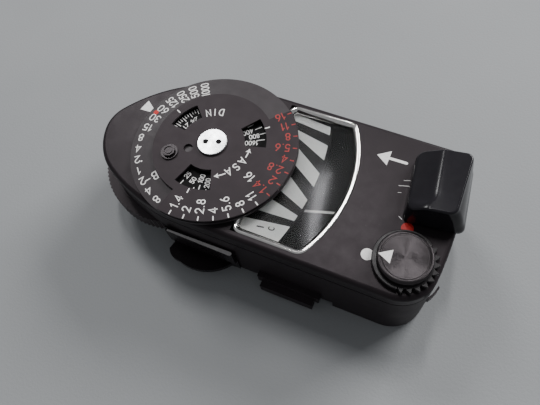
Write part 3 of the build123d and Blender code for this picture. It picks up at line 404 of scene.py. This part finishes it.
# ---------------------------------------------------------------- mesh helpers
def add_mesh(name, verts, faces, material, body, smooth_degrees):
    """A mesh piece from vertices in millimetres, with edges sharper than an angle left crisp."""
    mesh = bpy.data.meshes.new(name)
    mesh.from_pydata([Vector(v) * MM for v in verts], [], faces)
    mesh.validate()
    work = bmesh.new()
    work.from_mesh(mesh)
    bmesh.ops.remove_doubles(work, verts=work.verts, dist=1e-7)
    bmesh.ops.recalc_face_normals(work, faces=work.faces)
    for face in work.faces:
        face.smooth = True
    for edge in work.edges:
        if len(edge.link_faces) == 2 and edge.calc_face_angle(0.0) > math.radians(smooth_degrees):
            edge.smooth = False
    work.to_mesh(mesh)
    work.free()
    mesh.materials.append(material)
    piece = bpy.data.objects.new(name, mesh)
    bpy.context.scene.collection.objects.link(piece)
    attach(piece, body)
    return piece


def loft(rings, closed=False, cap_last=True):
    """Vertices and faces that join rings of equal length; closed joins the last ring to the first."""
    verts = [point for ring in rings for point in ring]
    size = len(rings[0])
    faces = []
    spans = len(rings) if closed else len(rings) - 1
    for k in range(spans):
        here = k * size
        there = ((k + 1) % len(rings)) * size
        for i in range(size):
            j = (i + 1) % size
            faces.append((here + i, here + j, there + j, there + i))
    if not closed:
        faces.append(tuple(range(size)))
        if cap_last:
            faces.append(tuple((len(rings) - 1) * size + i for i in range(size)))
    return verts, faces


# ---------------------------------------------------------------- lettering
DIGIT_ONE = [(0.06, 0.74), (0.27, 1.0), (0.27, 0.0)]
BOWL_TOP = arc(0.3, 0.68, 0.27, 0.32, 0, 180)
BOWL_LOW = arc(0.3, 0.32, 0.27, 0.32, 180, 360)

# each glyph: its width, then its pen strokes; a stroke that ends where it began is closed
GLYPHS = {
    "0": (0.60, [BOWL_TOP + BOWL_LOW + BOWL_TOP[:1]]),
    "1": (0.38, [DIGIT_ONE]),
    "2": (0.60, [arc(0.3, 0.72, 0.27, 0.28, 170, -35) + [(0.03, 0.0), (0.58, 0.0)]]),
    "3": (0.58, [arc(0.28, 0.75, 0.24, 0.25, 150, -90), arc(0.28, 0.26, 0.27, 0.26, 90, -155)]),
    "4": (0.64, [[(0.46, 0.0), (0.46, 1.0), (0.02, 0.28), (0.62, 0.28)]]),
    "5": (0.58, [[(0.53, 1.0), (0.1, 1.0), (0.06, 0.54)] + arc(0.28, 0.31, 0.27, 0.31, 130, -150)]),
    "6": (0.60, [arc(0.3, 0.3, 0.27, 0.3, 160, 520), [(0.46, 1.0), (0.22, 0.72), (0.05, 0.4)]]),
    "8": (0.60, [arc(0.3, 0.76, 0.22, 0.24, -90, 270), arc(0.3, 0.27, 0.27, 0.27, 90, 450)]),
    ".": (0.22, [[(0.08, 0.03), (0.12, 0.03)]]),
    "A": (0.72, [[(0.02, 0.0), (0.36, 1.0), (0.7, 0.0)], [(0.13, 0.3), (0.59, 0.3)]]),
    "B": (0.62, [[(0.05, 0.53), (0.33, 0.53)] + arc(0.33, 0.265, 0.25, 0.265, 90, -90)
                 + [(0.05, 0.0), (0.05, 1.0)] + arc(0.31, 0.765, 0.21, 0.235, 90, -90)]),
    "C": (0.62, [arc(0.34, 0.5, 0.3, 0.5, 50, 310)]),
    "D": (0.66, [[(0.05, 0.0), (0.05, 1.0)] + arc(0.25, 0.5, 0.36, 0.5, 90, -90) + [(0.05, 0.0)]]),
    "I": (0.26, [[(0.13, 0.0), (0.13, 1.0)]]),
    "N": (0.66, [[(0.05, 0.0), (0.05, 1.0), (0.6, 0.0), (0.6, 1.0)]]),
    "S": (0.60, [arc(0.3, 0.74, 0.25, 0.26, 35, 270) + arc(0.3, 0.25, 0.27, 0.25, 80, -150)]),
}
GLYPH_GAP = 0.2
LAYERS = 3               # overlapping marks take one of so many heights in turn, so no two tops coincide
LAYER_STEP = 0.0015
SUNK = 0.03              # how far a mark's underside lies below the surface


class Ink:
    """Flat painted marks gathered into one thin mesh that lies on a surface."""

    def __init__(self):
        self.verts = []
        self.faces = []
        self.lift = []
        self.count = 0

    def _add(self, points, faces):
        start = len(self.verts)
        self.verts += points
        self.lift += [self.count % LAYERS] * len(points)
        self.faces += [tuple(start + i for i in face) for face in faces]
        self.count += 1

    def polygon(self, points):
        """A filled shape."""
        self._add(list(points), [tuple(range(len(points)))])

    def dot(self, x, y, radius):
        """A filled circle."""
        steps = 28
        self.polygon([polar(radius, 360 * k / steps, (x, y)) for k in range(steps)])

    def stroke(self, path, width):
        """A pen stroke with round ends, or a closed one if the path ends where it began."""
        closed = len(path) > 3 and math.dist(path[0], path[-1]) < 1e-6
        points = path[:-1] if closed else path
        count = len(points)
        half = width / 2
        left = []
        right = []
        for i, (x, y) in enumerate(points):
            before = points[i - 1] if (i or closed) else points[i]
            after = points[(i + 1) % count] if (i < count - 1 or closed) else points[i]
            first = Vector((x - before[0], y - before[1]))
            second = Vector((after[0] - x, after[1] - y))
            if first.length < 1e-9:
                first = second
            if second.length < 1e-9:
                second = first
            first.normalize()
            second.normalize()
            along = first + second
            if along.length < 1e-6:
                along = first
            along.normalize()
            reach = half / max(0.45, along.dot(first))
            across = Vector((-along.y, along.x)) * reach
            left.append((x + across.x, y + across.y))
            right.append((x - across.x, y - across.y))
        faces = []
        for i in range(count if closed else count - 1):
            j = (i + 1) % count
            faces.append((i, j, count + j, count + i))
        outline = left + right
        if not closed:
            for i, other in ((0, 1), (count - 1, count - 2)):
                away = Vector(points[i]) - Vector(points[other])
                heading = math.degrees(math.atan2(away.y, away.x))
                cap = [polar(half, heading + turn, points[i]) for turn in (-60, -30, 0, 30, 60)]
                ends = (i, count + i) if i else (count + i, i)
                base = len(outline)
                outline += cap
                order = [base + k for k in range(len(cap))]
                faces.append((ends[1], *order, ends[0]))
        self._add(outline, faces)

    def text(self, words, centre, reading, height, pen, anchor=0.5, squeeze=1.0):
        """Words along a reading direction in degrees; anchor is where on their length the centre lies."""
        wide = height * squeeze
        offsets = []
        total = 0.0
        for c in words:
            offsets.append(total)
            total += (GLYPHS[c][0] + GLYPH_GAP) * wide
        total -= GLYPH_GAP * wide
        angle = math.radians(reading)
        along = Vector((math.cos(angle), math.sin(angle)))
        up = Vector((-along.y, along.x))
        start = Vector(centre) - along * total * anchor - up * height / 2
        for c, offset in zip(words, offsets):
            for path in GLYPHS[c][1]:
                placed = [start + along * (offset + px * wide) + up * py * height for px, py in path]
                self.stroke([(p.x, p.y) for p in placed], pen)

    def build(self, name, surface, material, body, thick=0.045):
        """The marks as slabs that follow a surface height, partly sunk into it."""
        work = bmesh.new()
        tops = []
        for (x, y), lift in zip(self.verts, self.lift):
            z = surface(x, y) - SUNK + lift * LAYER_STEP
            tops.append(work.verts.new((x * MM, y * MM, z * MM)))
        made = [work.faces.new([tops[i] for i in face]) for face in self.faces]
        grown = bmesh.ops.extrude_face_region(work, geom=made)
        for item in grown["geom"]:
            if isinstance(item, bmesh.types.BMVert):
                item.co.z += thick * MM
        bmesh.ops.recalc_face_normals(work, faces=work.faces)
        mesh = bpy.data.meshes.new(name)
        work.to_mesh(mesh)
        work.free()
        mesh.materials.append(material)
        piece = bpy.data.objects.new(name, mesh)
        bpy.context.scene.collection.objects.link(piece)
        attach(piece, body)
        return piece


def on_dial(radius, degrees):
    """A point given by radius and angle about the dial's axis."""
    return polar(radius, degrees, (DIAL_X, 0.0))


def radial_bar(marks, inner, outer, degrees, width):
    """A straight tick along a radius of the dial."""
    marks.stroke([on_dial(inner, degrees), on_dial(outer, degrees)], width)


def flat_at(height):
    """A level surface."""
    return lambda x, y: height


def ring_height(x, y):
    """The speed dial's top: level inside the step, then a shallow cone down to the rim."""
    radius = math.hypot(x - DIAL_X, y)
    share = min(max((radius - STEP_R) / (DIAL_R - STEP_R), 0.0), 1.0)
    return DIAL_FLAT - 0.05 * (share > 0) - RIM_DROP * share


TEXT_H = 1.68
PEN = 0.24
TICK = 0.2               # width of the fine ticks in the windows
APERTURES = ["1.4", "2", "2.8", "4", "5.6", "8", "11", "16"]
APERTURE_START = -92.6   # degrees at the first white number
RED_START = 44.9         # degrees at the red 16, and the others follow clockwise
SPEEDS = ["1000", "500", "250", "125", "60", "30", "15", "8", "4", "2", "1", "2", "4", "8"]
SPEED_START = 123.6      # degrees at the first speed
SPEED_SQUEEZE = {3: 0.97, 4: 0.87}   # width of the digits in long speeds, where short ones have 1.1
NUMBER_R = 16.65         # outer end of the aperture numbers
B_TURN = 233.2           # degrees at the letter after the speeds
ARROW_R = 8.3            # radius of the curved double arrow
ARROWS = [(8.3, -5.5), (-60.6, -45.0)]   # degrees at each of its heads and where that half's line ends
WINDOW_MARKS = [155.8, 38.3, 271.9]      # degrees at the index mark over each window
DIN_START = 137.0        # degrees at the first tick in the first window

# each film-speed scale's name: degrees at its first letter, the step to the next, radius, height and pen
SCALE_NAMES = {
    "DIN": (102.6, 10.3, 8.1, 1.65, 0.25),
    "ASA": (346.8, -13.1, 8.25, 1.62, 0.26),
}

# each film-speed window: its numbers as (text, degrees, radius), then its ticks as (degrees, inner, outer)
ASA_WINDOWS = [
    (
        [("400", 46.6, 8.0), ("800", 36.0, 9.0), ("1600", 25.6, 8.2)],
        [(54.5, 8.6, 9.9), (46.0, 9.7, 11.2), (37.0, 10.4, 11.6), (28.6, 9.4, 11.0)],
    ),
    (
        [("25", 256.0, 8.6), ("50", 267.5, 9.1), ("100", 278.0, 8.2), ("200", 288.0, 9.1)],
        [(256.5, 10.1, 11.2), (279.2, 9.8, 11.1), (273.2, 10.6, 11.2), (287.6, 10.6, 11.1)],
    ),
]


def aperture_scales():
    """The white and red aperture numbers with their ticks, reading inwards."""
    white = Ink()
    for k, words in enumerate(APERTURES):
        angle = APERTURE_START + STOP * k
        start = 13.0 if words == "16" else NUMBER_R
        white.text(words, on_dial(start, angle), angle + 180, TEXT_H, PEN, anchor=0.0)
        if words != "16":
            radial_bar(white, 17.45, 18.2, angle, 0.27)
    red = Ink()
    for k, words in enumerate(reversed(APERTURES)):
        angle = RED_START - STOP * k
        red.text(words, on_dial(NUMBER_R, angle), angle + 180, TEXT_H, PEN, anchor=0.0)
        radial_bar(red, 17.4, 18.1, angle, 0.24)
    white.build("aperture_numbers", flat_at(APERTURE_TOP), WHITE, "aperture")
    red.build("red_numbers", flat_at(APERTURE_TOP), RED, "aperture")


def film_speed_words():
    """The names of the two film-speed scales, the double arrow and the window index marks."""
    marks = Ink()
    for name, (first, step, radius, height, pen) in SCALE_NAMES.items():
        for k, letter in enumerate(name):
            angle = first + step * k
            marks.text(letter, on_dial(radius, angle), angle + math.copysign(90, step), height, pen)
    for tip, tail in ARROWS:
        way = math.copysign(1.0, tail - tip)
        marks.stroke([on_dial(ARROW_R, tip + (tail - tip) * k / 4) for k in range(5)], 0.28)
        for barb in (ARROW_R + 0.65, ARROW_R - 0.65):
            point = on_dial(ARROW_R, tip - 0.6 * way)
            marks.polygon([point, on_dial(barb, tip + 5.6 * way), on_dial(ARROW_R, tip + 4.2 * way)])
    for angle in WINDOW_MARKS:
        radial_bar(marks, 11.7, 12.6, angle, 0.26)
    marks.build("film_speed_words", flat_at(APERTURE_TOP), WHITE, "aperture")


def film_speed_numbers():
    """The scales that show through the aperture dial's three windows."""
    marks = Ink()
    for k in range(13):
        angle = DIN_START + STOP / 3 * k
        inner = 9.8 if k % 3 == 0 else 10.35
        radial_bar(marks, inner, 11.1, angle, TICK)
    for words, angle in (("24", 146.8), ("21", 161.5)):
        marks.text(words, on_dial(8.6, angle), angle + 90, 1.2, 0.19)
    for numbers, ticks in ASA_WINDOWS:
        for words, angle, radius in numbers:
            marks.text(words, on_dial(radius, angle), angle + 176, 1.0, 0.17)
        for angle, inner, outer in ticks:
            radial_bar(marks, inner, outer, angle, TICK)
    marks.build("film_speed_numbers", flat_at(SCALE_TOP), WHITE, "dial")


def speed_numbers():
    """The shutter speeds round the lower ring, reading outwards, and their marks."""
    marks = Ink()
    for k, words in enumerate(SPEEDS):
        angle = SPEED_START + STOP * k
        squeeze = SPEED_SQUEEZE.get(len(words), 1.1)
        reach = 17.1 if len(words) > 2 else 16.8
        last = GLYPHS[words[-1]][0] * TEXT_H * squeeze / 2
        marks.text(words, on_dial(reach + last, angle), angle, TEXT_H, PEN, anchor=1.0, squeeze=squeeze)
    marks.text("B", on_dial(14.0, B_TURN), B_TURN, 1.8, 0.27)
    radial_bar(marks, 15.2, 16.2, B_TURN, 0.24)
    marks.dot(*on_dial(15.9, 214.5), 0.2)
    marks.build("speed_numbers", ring_height, WHITE, "dial")
    dot = Ink()
    dot.dot(*on_dial(16.95, 167.9), 0.62)
    dot.build("speed_dot", ring_height, RED_DOT, "dial")


NEEDLE_TURN = 16.5       # degrees between the needle at rest and the body's long axis
FLAG_LENGTH = 8.5


def needle_flag():
    """The needle's broad white end."""
    tip = (low("needle", X) + 0.15, low("needle", Y) + 0.15)
    top = flat_at(high("needle", Z))
    mark = Ink()
    mark.stroke([tip, polar(FLAG_LENGTH, NEEDLE_TURN, tip)], 0.5)
    mark.build("needle_flag", top, POINTER, "needle", thick=0.05)


def paint_spanner_hole_shade():
    """Painted shade: dark discs level with the centre screw's top over its two spanner holes, in place of
    the shade inside them.
    """
    marks = Ink()
    for angle in (18.0, 198.0):
        marks.dot(*on_dial(1.43, angle), 0.6)
    marks.build("spanner_hole_shade", flat_at(high("centre_screw", Z)), INNER_AND_HOLE_SHADE, "dial")


# each scuff: its distance from the slider's left side, its y, its length and its heading
SCUFFS = [
    (-0.6, 6.2, 1.1, 20.0),
    (-1.2, 4.75, 1.9, 16.0),
    (-0.9, 3.2, 0.6, 16.0),
    (0.8, -1.75, 0.8, -30.0),
]


def wear():
    """A bright metallic strip along the hood's ledge, partly painted highlight and partly bare worn metal,
    and pale scuffs beside the slider.
    """
    # painted highlight with bare wear: the strokes widen towards the right, where the ledge shines most
    ledge = Ink()
    near = low("cell_window", Y) - 0.75
    left = low("cell_hood", X) + 1.4
    right = high("cell_hood", X) - 0.6
    strokes = 14
    for k in range(strokes):
        x = left + (right - left) * k / strokes
        ledge.stroke([(x, near), (x + 1.0, near)], 0.45 + 0.03 * k)
    ledge_top = flat_at(high("cell_hood", Z))
    ledge.build("ledge_highlight_and_wear", ledge_top, LEDGE_SHINE_AND_WEAR, "housing", thick=0.04)
    scuffs = Ink()
    beside = low("switch_slider", X)
    for k, (dx, y, length, turn) in enumerate(SCUFFS):
        start = (beside + dx, y)
        scuffs.stroke([start, polar(length, turn, start)], 0.1 + 0.03 * (k % 2))
    scuffs.build("cover_scuffs", flat_at(COVER_TOP), WHITE, "housing", thick=0.034)


def cover_marks():
    """The index fan, the arrow and the two dots on the cover."""
    marks = Ink()
    outer = [on_dial(21.6, 162.6 + 7.6 * k / 8) for k in range(9)]
    marks.polygon(outer + [on_dial(18.5, 168.2), on_dial(18.5, 165.6)])
    arrow_y = 10.212
    tip_x = DIAL_X + 33.12
    head_x = tip_x + 2.6
    marks.polygon([(tip_x, arrow_y), (head_x, arrow_y - 1.8), (head_x, arrow_y + 1.8)])
    marks.stroke([(head_x - 0.4, arrow_y), (head_x + 3.6, arrow_y)], 0.62)
    marks.dot(KNOB_X - 6.7, KNOB_Y - 1.07, 1.2)
    marks.build("cover_marks", flat_at(COVER_TOP), WHITE, "housing")
    dot = Ink()
    dot.dot(KNOB_X - 1.35, KNOB_Y + 6.65, 1.2)
    dot.build("range_dot", flat_at(COVER_TOP), RED_DOT, "housing")


# ---------------------------------------------------------------- window
def window_ring(inset):
    """Points round the window's outline at an inset from its outside, always the same number."""
    corner = 2.6
    left_corner = 2.0
    corner_steps = 8
    arc_steps = 48
    points = []
    cy = WINDOW_HALF - corner
    cx = math.sqrt((WINDOW_ARC_R - corner) ** 2 - cy**2)
    turn = math.degrees(math.atan2(cy, cx))
    for k in range(arc_steps + 1):
        points.append(on_dial(WINDOW_ARC_R - inset, -turn + 2 * turn * k / arc_steps))
    for k in range(1, corner_steps + 1):
        points.append(polar(corner - inset, turn + (90 - turn) * k / corner_steps, (DIAL_X + cx, cy)))
    left = DIAL_X + WINDOW_LEFT + left_corner
    for first, y in ((90, WINDOW_HALF - left_corner), (180, left_corner - WINDOW_HALF)):
        for k in range(corner_steps + 1):
            points.append(polar(left_corner - inset, first + 90 * k / corner_steps, (left, y)))
    for k in range(corner_steps):
        points.append(polar(corner - inset, 270 + (90 - turn) * k / corner_steps, (DIAL_X + cx, -cy)))
    return points


def window_frame():
    """The chromed frame: a rounded bead with a sloping inner face."""
    section = [(0.0, FRAME_LOW), (0.0, FRAME_TOP - 0.25)]
    section += [(0.35 - 0.35 * math.cos(a), FRAME_TOP - 0.25 + 0.35 * math.sin(a))
                for a in (math.radians(15 * k) for k in range(1, 7))]
    section += [(0.6, FRAME_TOP + 0.08), (0.78, FRAME_TOP), (RAIL, FRAME_TOP - 0.75), (RAIL, FRAME_LOW)]
    rings = [[(x, y, z) for x, y in window_ring(inset)] for inset, z in section]
    verts, faces = loft(rings, closed=True)
    piece = add_mesh("chrome_frame", verts, faces, CHROME, "housing", 40.0)
    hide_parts("window_frame")


DOME = 0.35              # how far the glass bulges along the window
DOME_START = 10.0        # radius from the dial's axis where the bulge is whole
GLASS_LOW = 20.0


def glass_height(x, y):
    """The glass's domed top, highest along its middle line and level with the frame at its edge."""
    across = min(1.0, abs(y) / (WINDOW_HALF - RAIL))
    inner_arc = WINDOW_ARC_R - RAIL
    radius = math.hypot(x - DIAL_X, y)
    along = min(1.0, max(0.0, (radius - DOME_START) / (inner_arc - DOME_START)))
    edge = (1 - across**2) * (1 - along**6)
    return FRAME_TOP - 0.55 + DOME * edge


def window_glass():
    """The domed glass, as rings that shrink towards the window's middle."""
    middle_point = (DIAL_X + 22.5, 0.0)
    outline = window_ring(RAIL + 0.02)
    rings = [[(x, y, GLASS_LOW) for x, y in outline]]
    steps = 16
    for k in range(steps):
        share = 1 - (k / steps) ** 1.2
        ring = []
        for x, y in outline:
            px = middle_point[0] + (x - middle_point[0]) * share
            py = middle_point[1] + (y - middle_point[1]) * share
            ring.append((px, py, glass_height(px, py)))
        rings.append(ring)
    verts, faces = loft(rings)
    piece = add_mesh("domed_glass", verts, faces, GLASS, "housing", 40.0)
    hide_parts("window_glass")


# each white lane: its low and high edge at the dial's rim, then at the plate's right edge
LANE_EDGES = [
    ((13.3, 15.4), (12.2, 14.2)),
    ((9.2, 11.2), (5.8, 9.5)),
    ((2.4, 6.6), (-0.9, 2.5)),
    ((-4.3, -0.6), (-6.4, -4.1)),
    ((-9.7, -6.7), (-9.4, -8.1)),
    ((-15.2, -12.0), (-14.9, -10.9)),
]
LANE_ARC_R = 51.5
LANE_LEFT = 12.1         # ends of the lanes from the dial's axis: under the dial, and along the middle line
LANE_RIGHT = 23.5


def lane_right(y):
    """The plate's curved right edge, from the dial's axis."""
    return LANE_RIGHT - LANE_ARC_R + math.sqrt(LANE_ARC_R**2 - y**2)


def lane_stripes():
    """The white lanes on the dark plate."""
    marks = Ink()
    for (low_in, high_in), (low_out, high_out) in LANE_EDGES:
        edges = []
        for inside, outside in ((low_in, low_out), (high_in, high_out)):
            x_in = math.sqrt(DIAL_R**2 - inside**2)
            x_out = lane_right(outside) - 0.1
            slope = (outside - inside) / (x_out - x_in)
            edges.append((inside + (LANE_LEFT - x_in) * slope, outside))
        (low_left, low_right), (high_left, high_right) = edges
        right_side = []
        for k in range(6):
            y = low_right + (high_right - low_right) * k / 5
            right_side.append((DIAL_X + lane_right(y) - 0.1, y))
        limit = WINDOW_HALF - 0.6
        corners = [(DIAL_X + LANE_LEFT, max(-limit, min(limit, low_left)))]
        corners += right_side
        corners += [(DIAL_X + LANE_LEFT, max(-limit, min(limit, high_left)))]
        marks.polygon(corners)
    marks.build("lane_stripes", flat_at(LANE_TOP), LANES, "housing", thick=0.06)
    checks = Ink()
    checks.stroke([(DIAL_X + 16.0, -13.1), (DIAL_X + 17.3, -12.9)], 0.3)
    checks.text("C", (DIAL_X + 18.9, -12.6), 97, 1.2, 0.22)
    checks.build("check_marks", flat_at(LANE_TOP + 0.04), LANE_DARK, "housing")


# ---------------------------------------------------------------- switch and knob
SLIDER_TURN = 6.5        # degrees that the slider stands skew to the body
SLIDER_HALF = 5.8        # half its width at the base
SLIDER_REACH = 7.35      # half its length at the base
SLIDER_CORNER = 1.8      # left corners
SLIDER_BLUNT = 1.5       # right corners
SLIDER_ROUND = 0.45      # round along the top's edge
SLIDER_EASE = 0.12       # bevel along the bottom edge, and how softly the ridge is rounded
SLIDER_SHOULDER = 3.6    # height of the shoulder above its base before it rises
SLIDER_LEAN = 0.04       # how much its top falls towards the far end, per millimetre
SLIDER_SHIFT = -0.25     # its middle's y from the CAD slider's
SLIDER_BROW = (3.2, 4.7)  # right end of its top at the near and the far end, from the middle


def blend(value):
    """A smooth step from 0 to 1, held outside."""
    value = min(max(value, 0.0), 1.0)
    return value * value * (3 - 2 * value)


def slider_top(u, v):
    """The slider's top above its base: a shoulder, cut by a thumb ramp that ends short of the near edge."""
    start = SLIDER_SHOULDER - SLIDER_LEAN * v
    rise = blend(0.5 + 0.5 * min(1.0, (u + SLIDER_HALF) / 4.4)) * 2 - 1
    shoulder = start + 2.6 * rise + 0.05 * max(0.0, u + 1.4)
    share = max(0.0, (u + SLIDER_HALF) / 5.1)
    near = max(0.0, (-3.0 - v) / 4.2)
    hollow = start + 2.75 * share**1.1 + 1.6 * near**2
    lower = min(shoulder, hollow)
    spread = math.exp((lower - shoulder) / SLIDER_EASE) + math.exp((lower - hollow) / SLIDER_EASE)
    return lower - SLIDER_EASE * math.log(spread)


def slider_outline(a, b, level, inset):
    """The place over the base of a point given by its shares a and b of the slider's width and length."""
    left = -SLIDER_HALF + 0.15 * level + inset
    half = SLIDER_REACH - 0.4 * level - inset
    brow = SLIDER_BROW[0] + (SLIDER_BROW[1] - SLIDER_BROW[0]) * (b + 1) / 2
    right = SLIDER_HALF - 0.35 * blend(level / 0.35) - (SLIDER_HALF - 0.35 - brow) * level**1.7 - inset
    v = b * half
    cuts = []
    for corner in (SLIDER_CORNER - inset, SLIDER_BLUNT - inset):
        into = max(0.0, corner - (half - abs(v)))
        cuts.append(corner - math.sqrt(max(0.0, corner**2 - into**2)))
    return (left + cuts[0]) * (1 - a) / 2 + (right - cuts[1]) * (1 + a) / 2, v


def switch_slider():
    """The measuring switch: a block with a hollow thumb ramp, a ridge and a sloping right side."""
    centre_x = middle("switch_slider", X)
    centre_y = middle("switch_slider", Y) + SLIDER_SHIFT
    base = low("switch_slider", Z)
    turn = math.radians(SLIDER_TURN)
    flat_share = 1 - SLIDER_BLUNT / SLIDER_REACH
    shares_b = [-flat_share + 2 * flat_share * k / 44 for k in range(45)]
    round_share = 1 - flat_share
    end = [flat_share + round_share * math.sin(math.radians(9 * k)) for k in range(1, 11)]
    shares_b = [-share for share in reversed(end)] + shares_b + end
    shares_a = [-1 + 2 * k / 56 for k in range(57)]
    border = [(a, shares_b[0]) for a in shares_a]
    border += [(1.0, b) for b in shares_b[1:]]
    border += [(a, shares_b[-1]) for a in reversed(shares_a[:-1])]
    border += [(-1.0, b) for b in reversed(shares_b[1:-1])]

    def place(u, v, z):
        x = centre_x + u * math.cos(turn) - v * math.sin(turn)
        y = centre_y + u * math.sin(turn) + v * math.cos(turn)
        return (x, y, base + z)

    rings = []
    for inset, lift in ((SLIDER_EASE, 0.0), (0.0, SLIDER_EASE)):
        rings.append([place(*slider_outline(a, b, 0.0, inset), lift) for a, b in border])
    for k in range(1, 13):
        level = k / 12
        ring = []
        for a, b in border:
            u, v = slider_outline(a, b, level, 0.0)
            height = slider_top(u, v) - SLIDER_ROUND - SLIDER_EASE
            ring.append(place(u, v, SLIDER_EASE + height * level))
        rings.append(ring)
    for k in range(1, 7):
        angle = math.radians(15 * k)
        inset = SLIDER_ROUND * (1 - math.cos(angle))
        drop = SLIDER_ROUND * (1 - math.sin(angle))
        ring = []
        for a, b in border:
            u, v = slider_outline(a, b, 1.0, inset)
            ring.append(place(u, v, slider_top(u, v) - drop))
        rings.append(ring)
    verts, faces = loft(rings, cap_last=False)
    start = len(verts)
    for b in shares_b:
        for a in shares_a:
            u, v = slider_outline(a, b, 1.0, SLIDER_ROUND)
            verts.append(place(u, v, slider_top(u, v)))
    wide = len(shares_a)
    for row in range(len(shares_b) - 1):
        for column in range(wide - 1):
            corner = start + row * wide + column
            faces.append((corner, corner + 1, corner + wide + 1, corner + wide))
    piece = add_mesh("slider_block", verts, faces, SLIDER, "switch", 60.0)
    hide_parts("switch_slider")


def range_knob():
    """The range knob: a turned cap with a groove, on a flange with saw teeth along part of its rim."""
    centre = (KNOB_X, KNOB_Y)
    shoulder = KNOB_LOW + 1.0
    cap_r = 5.2
    steps = 144
    section = [
        (cap_r - 0.15, shoulder - 0.1), (cap_r - 0.15, shoulder + 0.12), (cap_r, shoulder + 0.25),
        (cap_r, KNOB_TOP - 0.28), (cap_r - 0.08, KNOB_TOP - 0.1), (cap_r - 0.25, KNOB_TOP),
        (cap_r - 0.62, KNOB_TOP), (cap_r - 0.7, KNOB_TOP - 0.1), (cap_r - 0.86, KNOB_TOP - 0.1),
        (cap_r - 0.94, KNOB_TOP - 0.02), (2.6, KNOB_TOP - 0.05), (0.4, KNOB_TOP - 0.12),
        (0.02, KNOB_TOP - 0.12),
    ]
    rings = []
    for radius, z in section:
        rings.append([(*polar(radius, 360 * k / steps, centre), z) for k in range(steps)])
    verts, faces = loft(rings)
    piece = add_mesh("knob_cap", verts, faces, KNOB, "knob", 40.0)
    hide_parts("range_knob")
    flange_r = 6.0
    root_r = 5.55
    tip_r = 6.5
    pitch = 15.0
    first = 41.0
    teeth = 9

    def rim(angle):
        """The flange's radius: plain, or a saw tooth with one steep side and one gentle one."""
        back = (first + pitch / 2 - angle) % 360.0
        if back > pitch * teeth:
            return flange_r
        off = pitch / 2 - back % pitch
        slope = (off - 0.6) / 3.5 if off > 0 else (-off - 0.6) / 8.0
        return tip_r - (tip_r - root_r) * min(max(slope, 0.0), 1.0)

    rim_steps = 720
    angles = [360.0 * k / rim_steps for k in range(rim_steps)]
    rings = []
    for inset, z in ((0.15, KNOB_LOW), (0.0, KNOB_LOW + 0.12), (0.0, shoulder - 0.14), (0.14, shoulder)):
        rings.append([(*polar(rim(a) - inset, a, centre), z) for a in angles])
    verts, faces = loft(rings)
    add_mesh("knob_flange", verts, faces, TEETH, "knob", 30.0)
    pointer = Ink()
    corners = ((-4.8, -1.12), (-2.25, -2.3), (-2.4, 0.45))
    pointer.polygon([(KNOB_X + x, KNOB_Y + y) for x, y in corners])
    pointer.build("knob_pointer", flat_at(KNOB_TOP + 0.02), WHITE, "knob")


# ---------------------------------------------------------------- floor, light, camera
def floor():
    """A plain pale sheet under the meter."""
    s = Shader("floor")
    cloud = s.noise(60.0, detail=3.0)
    s.to(s.colours(cloud, (0.3, (0.275, 0.283, 0.290)), (0.7, (0.297, 0.305, 0.312))), "Base Color")
    s.set(Roughness=0.75)
    s.bump(s.noise(0.6, detail=3.0), 0.05)
    half = 2.5
    corners = [(-half, -half, 0), (half, -half, 0), (half, half, 0), (-half, half, 0)]
    mesh = bpy.data.meshes.new("floor")
    mesh.from_pydata(corners, [], [(0, 1, 2, 3)])
    mesh.materials.append(s.material)
    sheet = bpy.data.objects.new("floor", mesh)
    bpy.context.scene.collection.objects.link(sheet)


LIGHT_TARGET = Vector((0.0, 0.0, 0.01))


def area_light(name, position, size, power):
    """A soft white rectangular light aimed at the meter; lengths in metres."""
    data = bpy.data.lights.new(name, "AREA")
    data.shape = "RECTANGLE"
    data.size = size[0]
    data.size_y = size[1]
    data.energy = power
    lamp = bpy.data.objects.new(name, data)
    lamp.location = position
    lamp.rotation_euler = (LIGHT_TARGET - Vector(position)).to_track_quat("-Z", "Y").to_euler()
    bpy.context.scene.collection.objects.link(lamp)


def lights():
    """A small key overhead, two larger lights behind it on either side, and a pale surround."""
    world = bpy.data.worlds.new("surround")
    world.use_nodes = True
    world.node_tree.nodes["Background"].inputs["Color"].default_value = (0.93, 0.96, 1.0, 1.0)
    world.node_tree.nodes["Background"].inputs["Strength"].default_value = 0.27
    bpy.context.scene.world = world
    area_light("key", (-0.105, 0.33, 0.82), (0.05, 0.2), 2.4)
    area_light("side", (-0.48, 0.40, 0.70), (0.22, 0.22), 2.6)
    area_light("back", (0.35, 0.75, 0.5), (0.5, 0.3), 10.0)


def camera():
    """The camera, at the angle and distance that match the meter's perspective."""
    azimuth = math.radians(35.44)
    elevation = math.radians(62.49)
    roll = math.radians(-13.2)
    distance = 101.2 * MM
    target = Vector((-7.32, -7.86, 20.8)) * MM
    level = math.cos(elevation)
    back = Vector((math.sin(azimuth) * level, -math.cos(azimuth) * level, math.sin(elevation)))
    right = Vector((math.cos(azimuth), math.sin(azimuth), 0.0))
    up = back.cross(right)
    x_axis = right * math.cos(roll) + up * math.sin(roll)
    y_axis = up * math.cos(roll) - right * math.sin(roll)
    data = bpy.data.cameras.new("camera")
    data.lens = 33.33
    data.sensor_width = 36.0
    data.clip_start = 0.005
    view = bpy.data.objects.new("camera", data)
    turn = Matrix((x_axis, y_axis, back)).transposed()
    view.matrix_world = Matrix.Translation(target + back * distance) @ turn.to_4x4()
    bpy.context.scene.collection.objects.link(view)
    bpy.context.scene.camera = view


finish_nodes()
aperture_scales()
film_speed_words()
film_speed_numbers()
speed_numbers()
needle_flag()
paint_spanner_hole_shade()
cover_marks()
wear()
window_frame()
window_glass()
lane_stripes()
switch_slider()
range_knob()
floor()
lights()
camera()
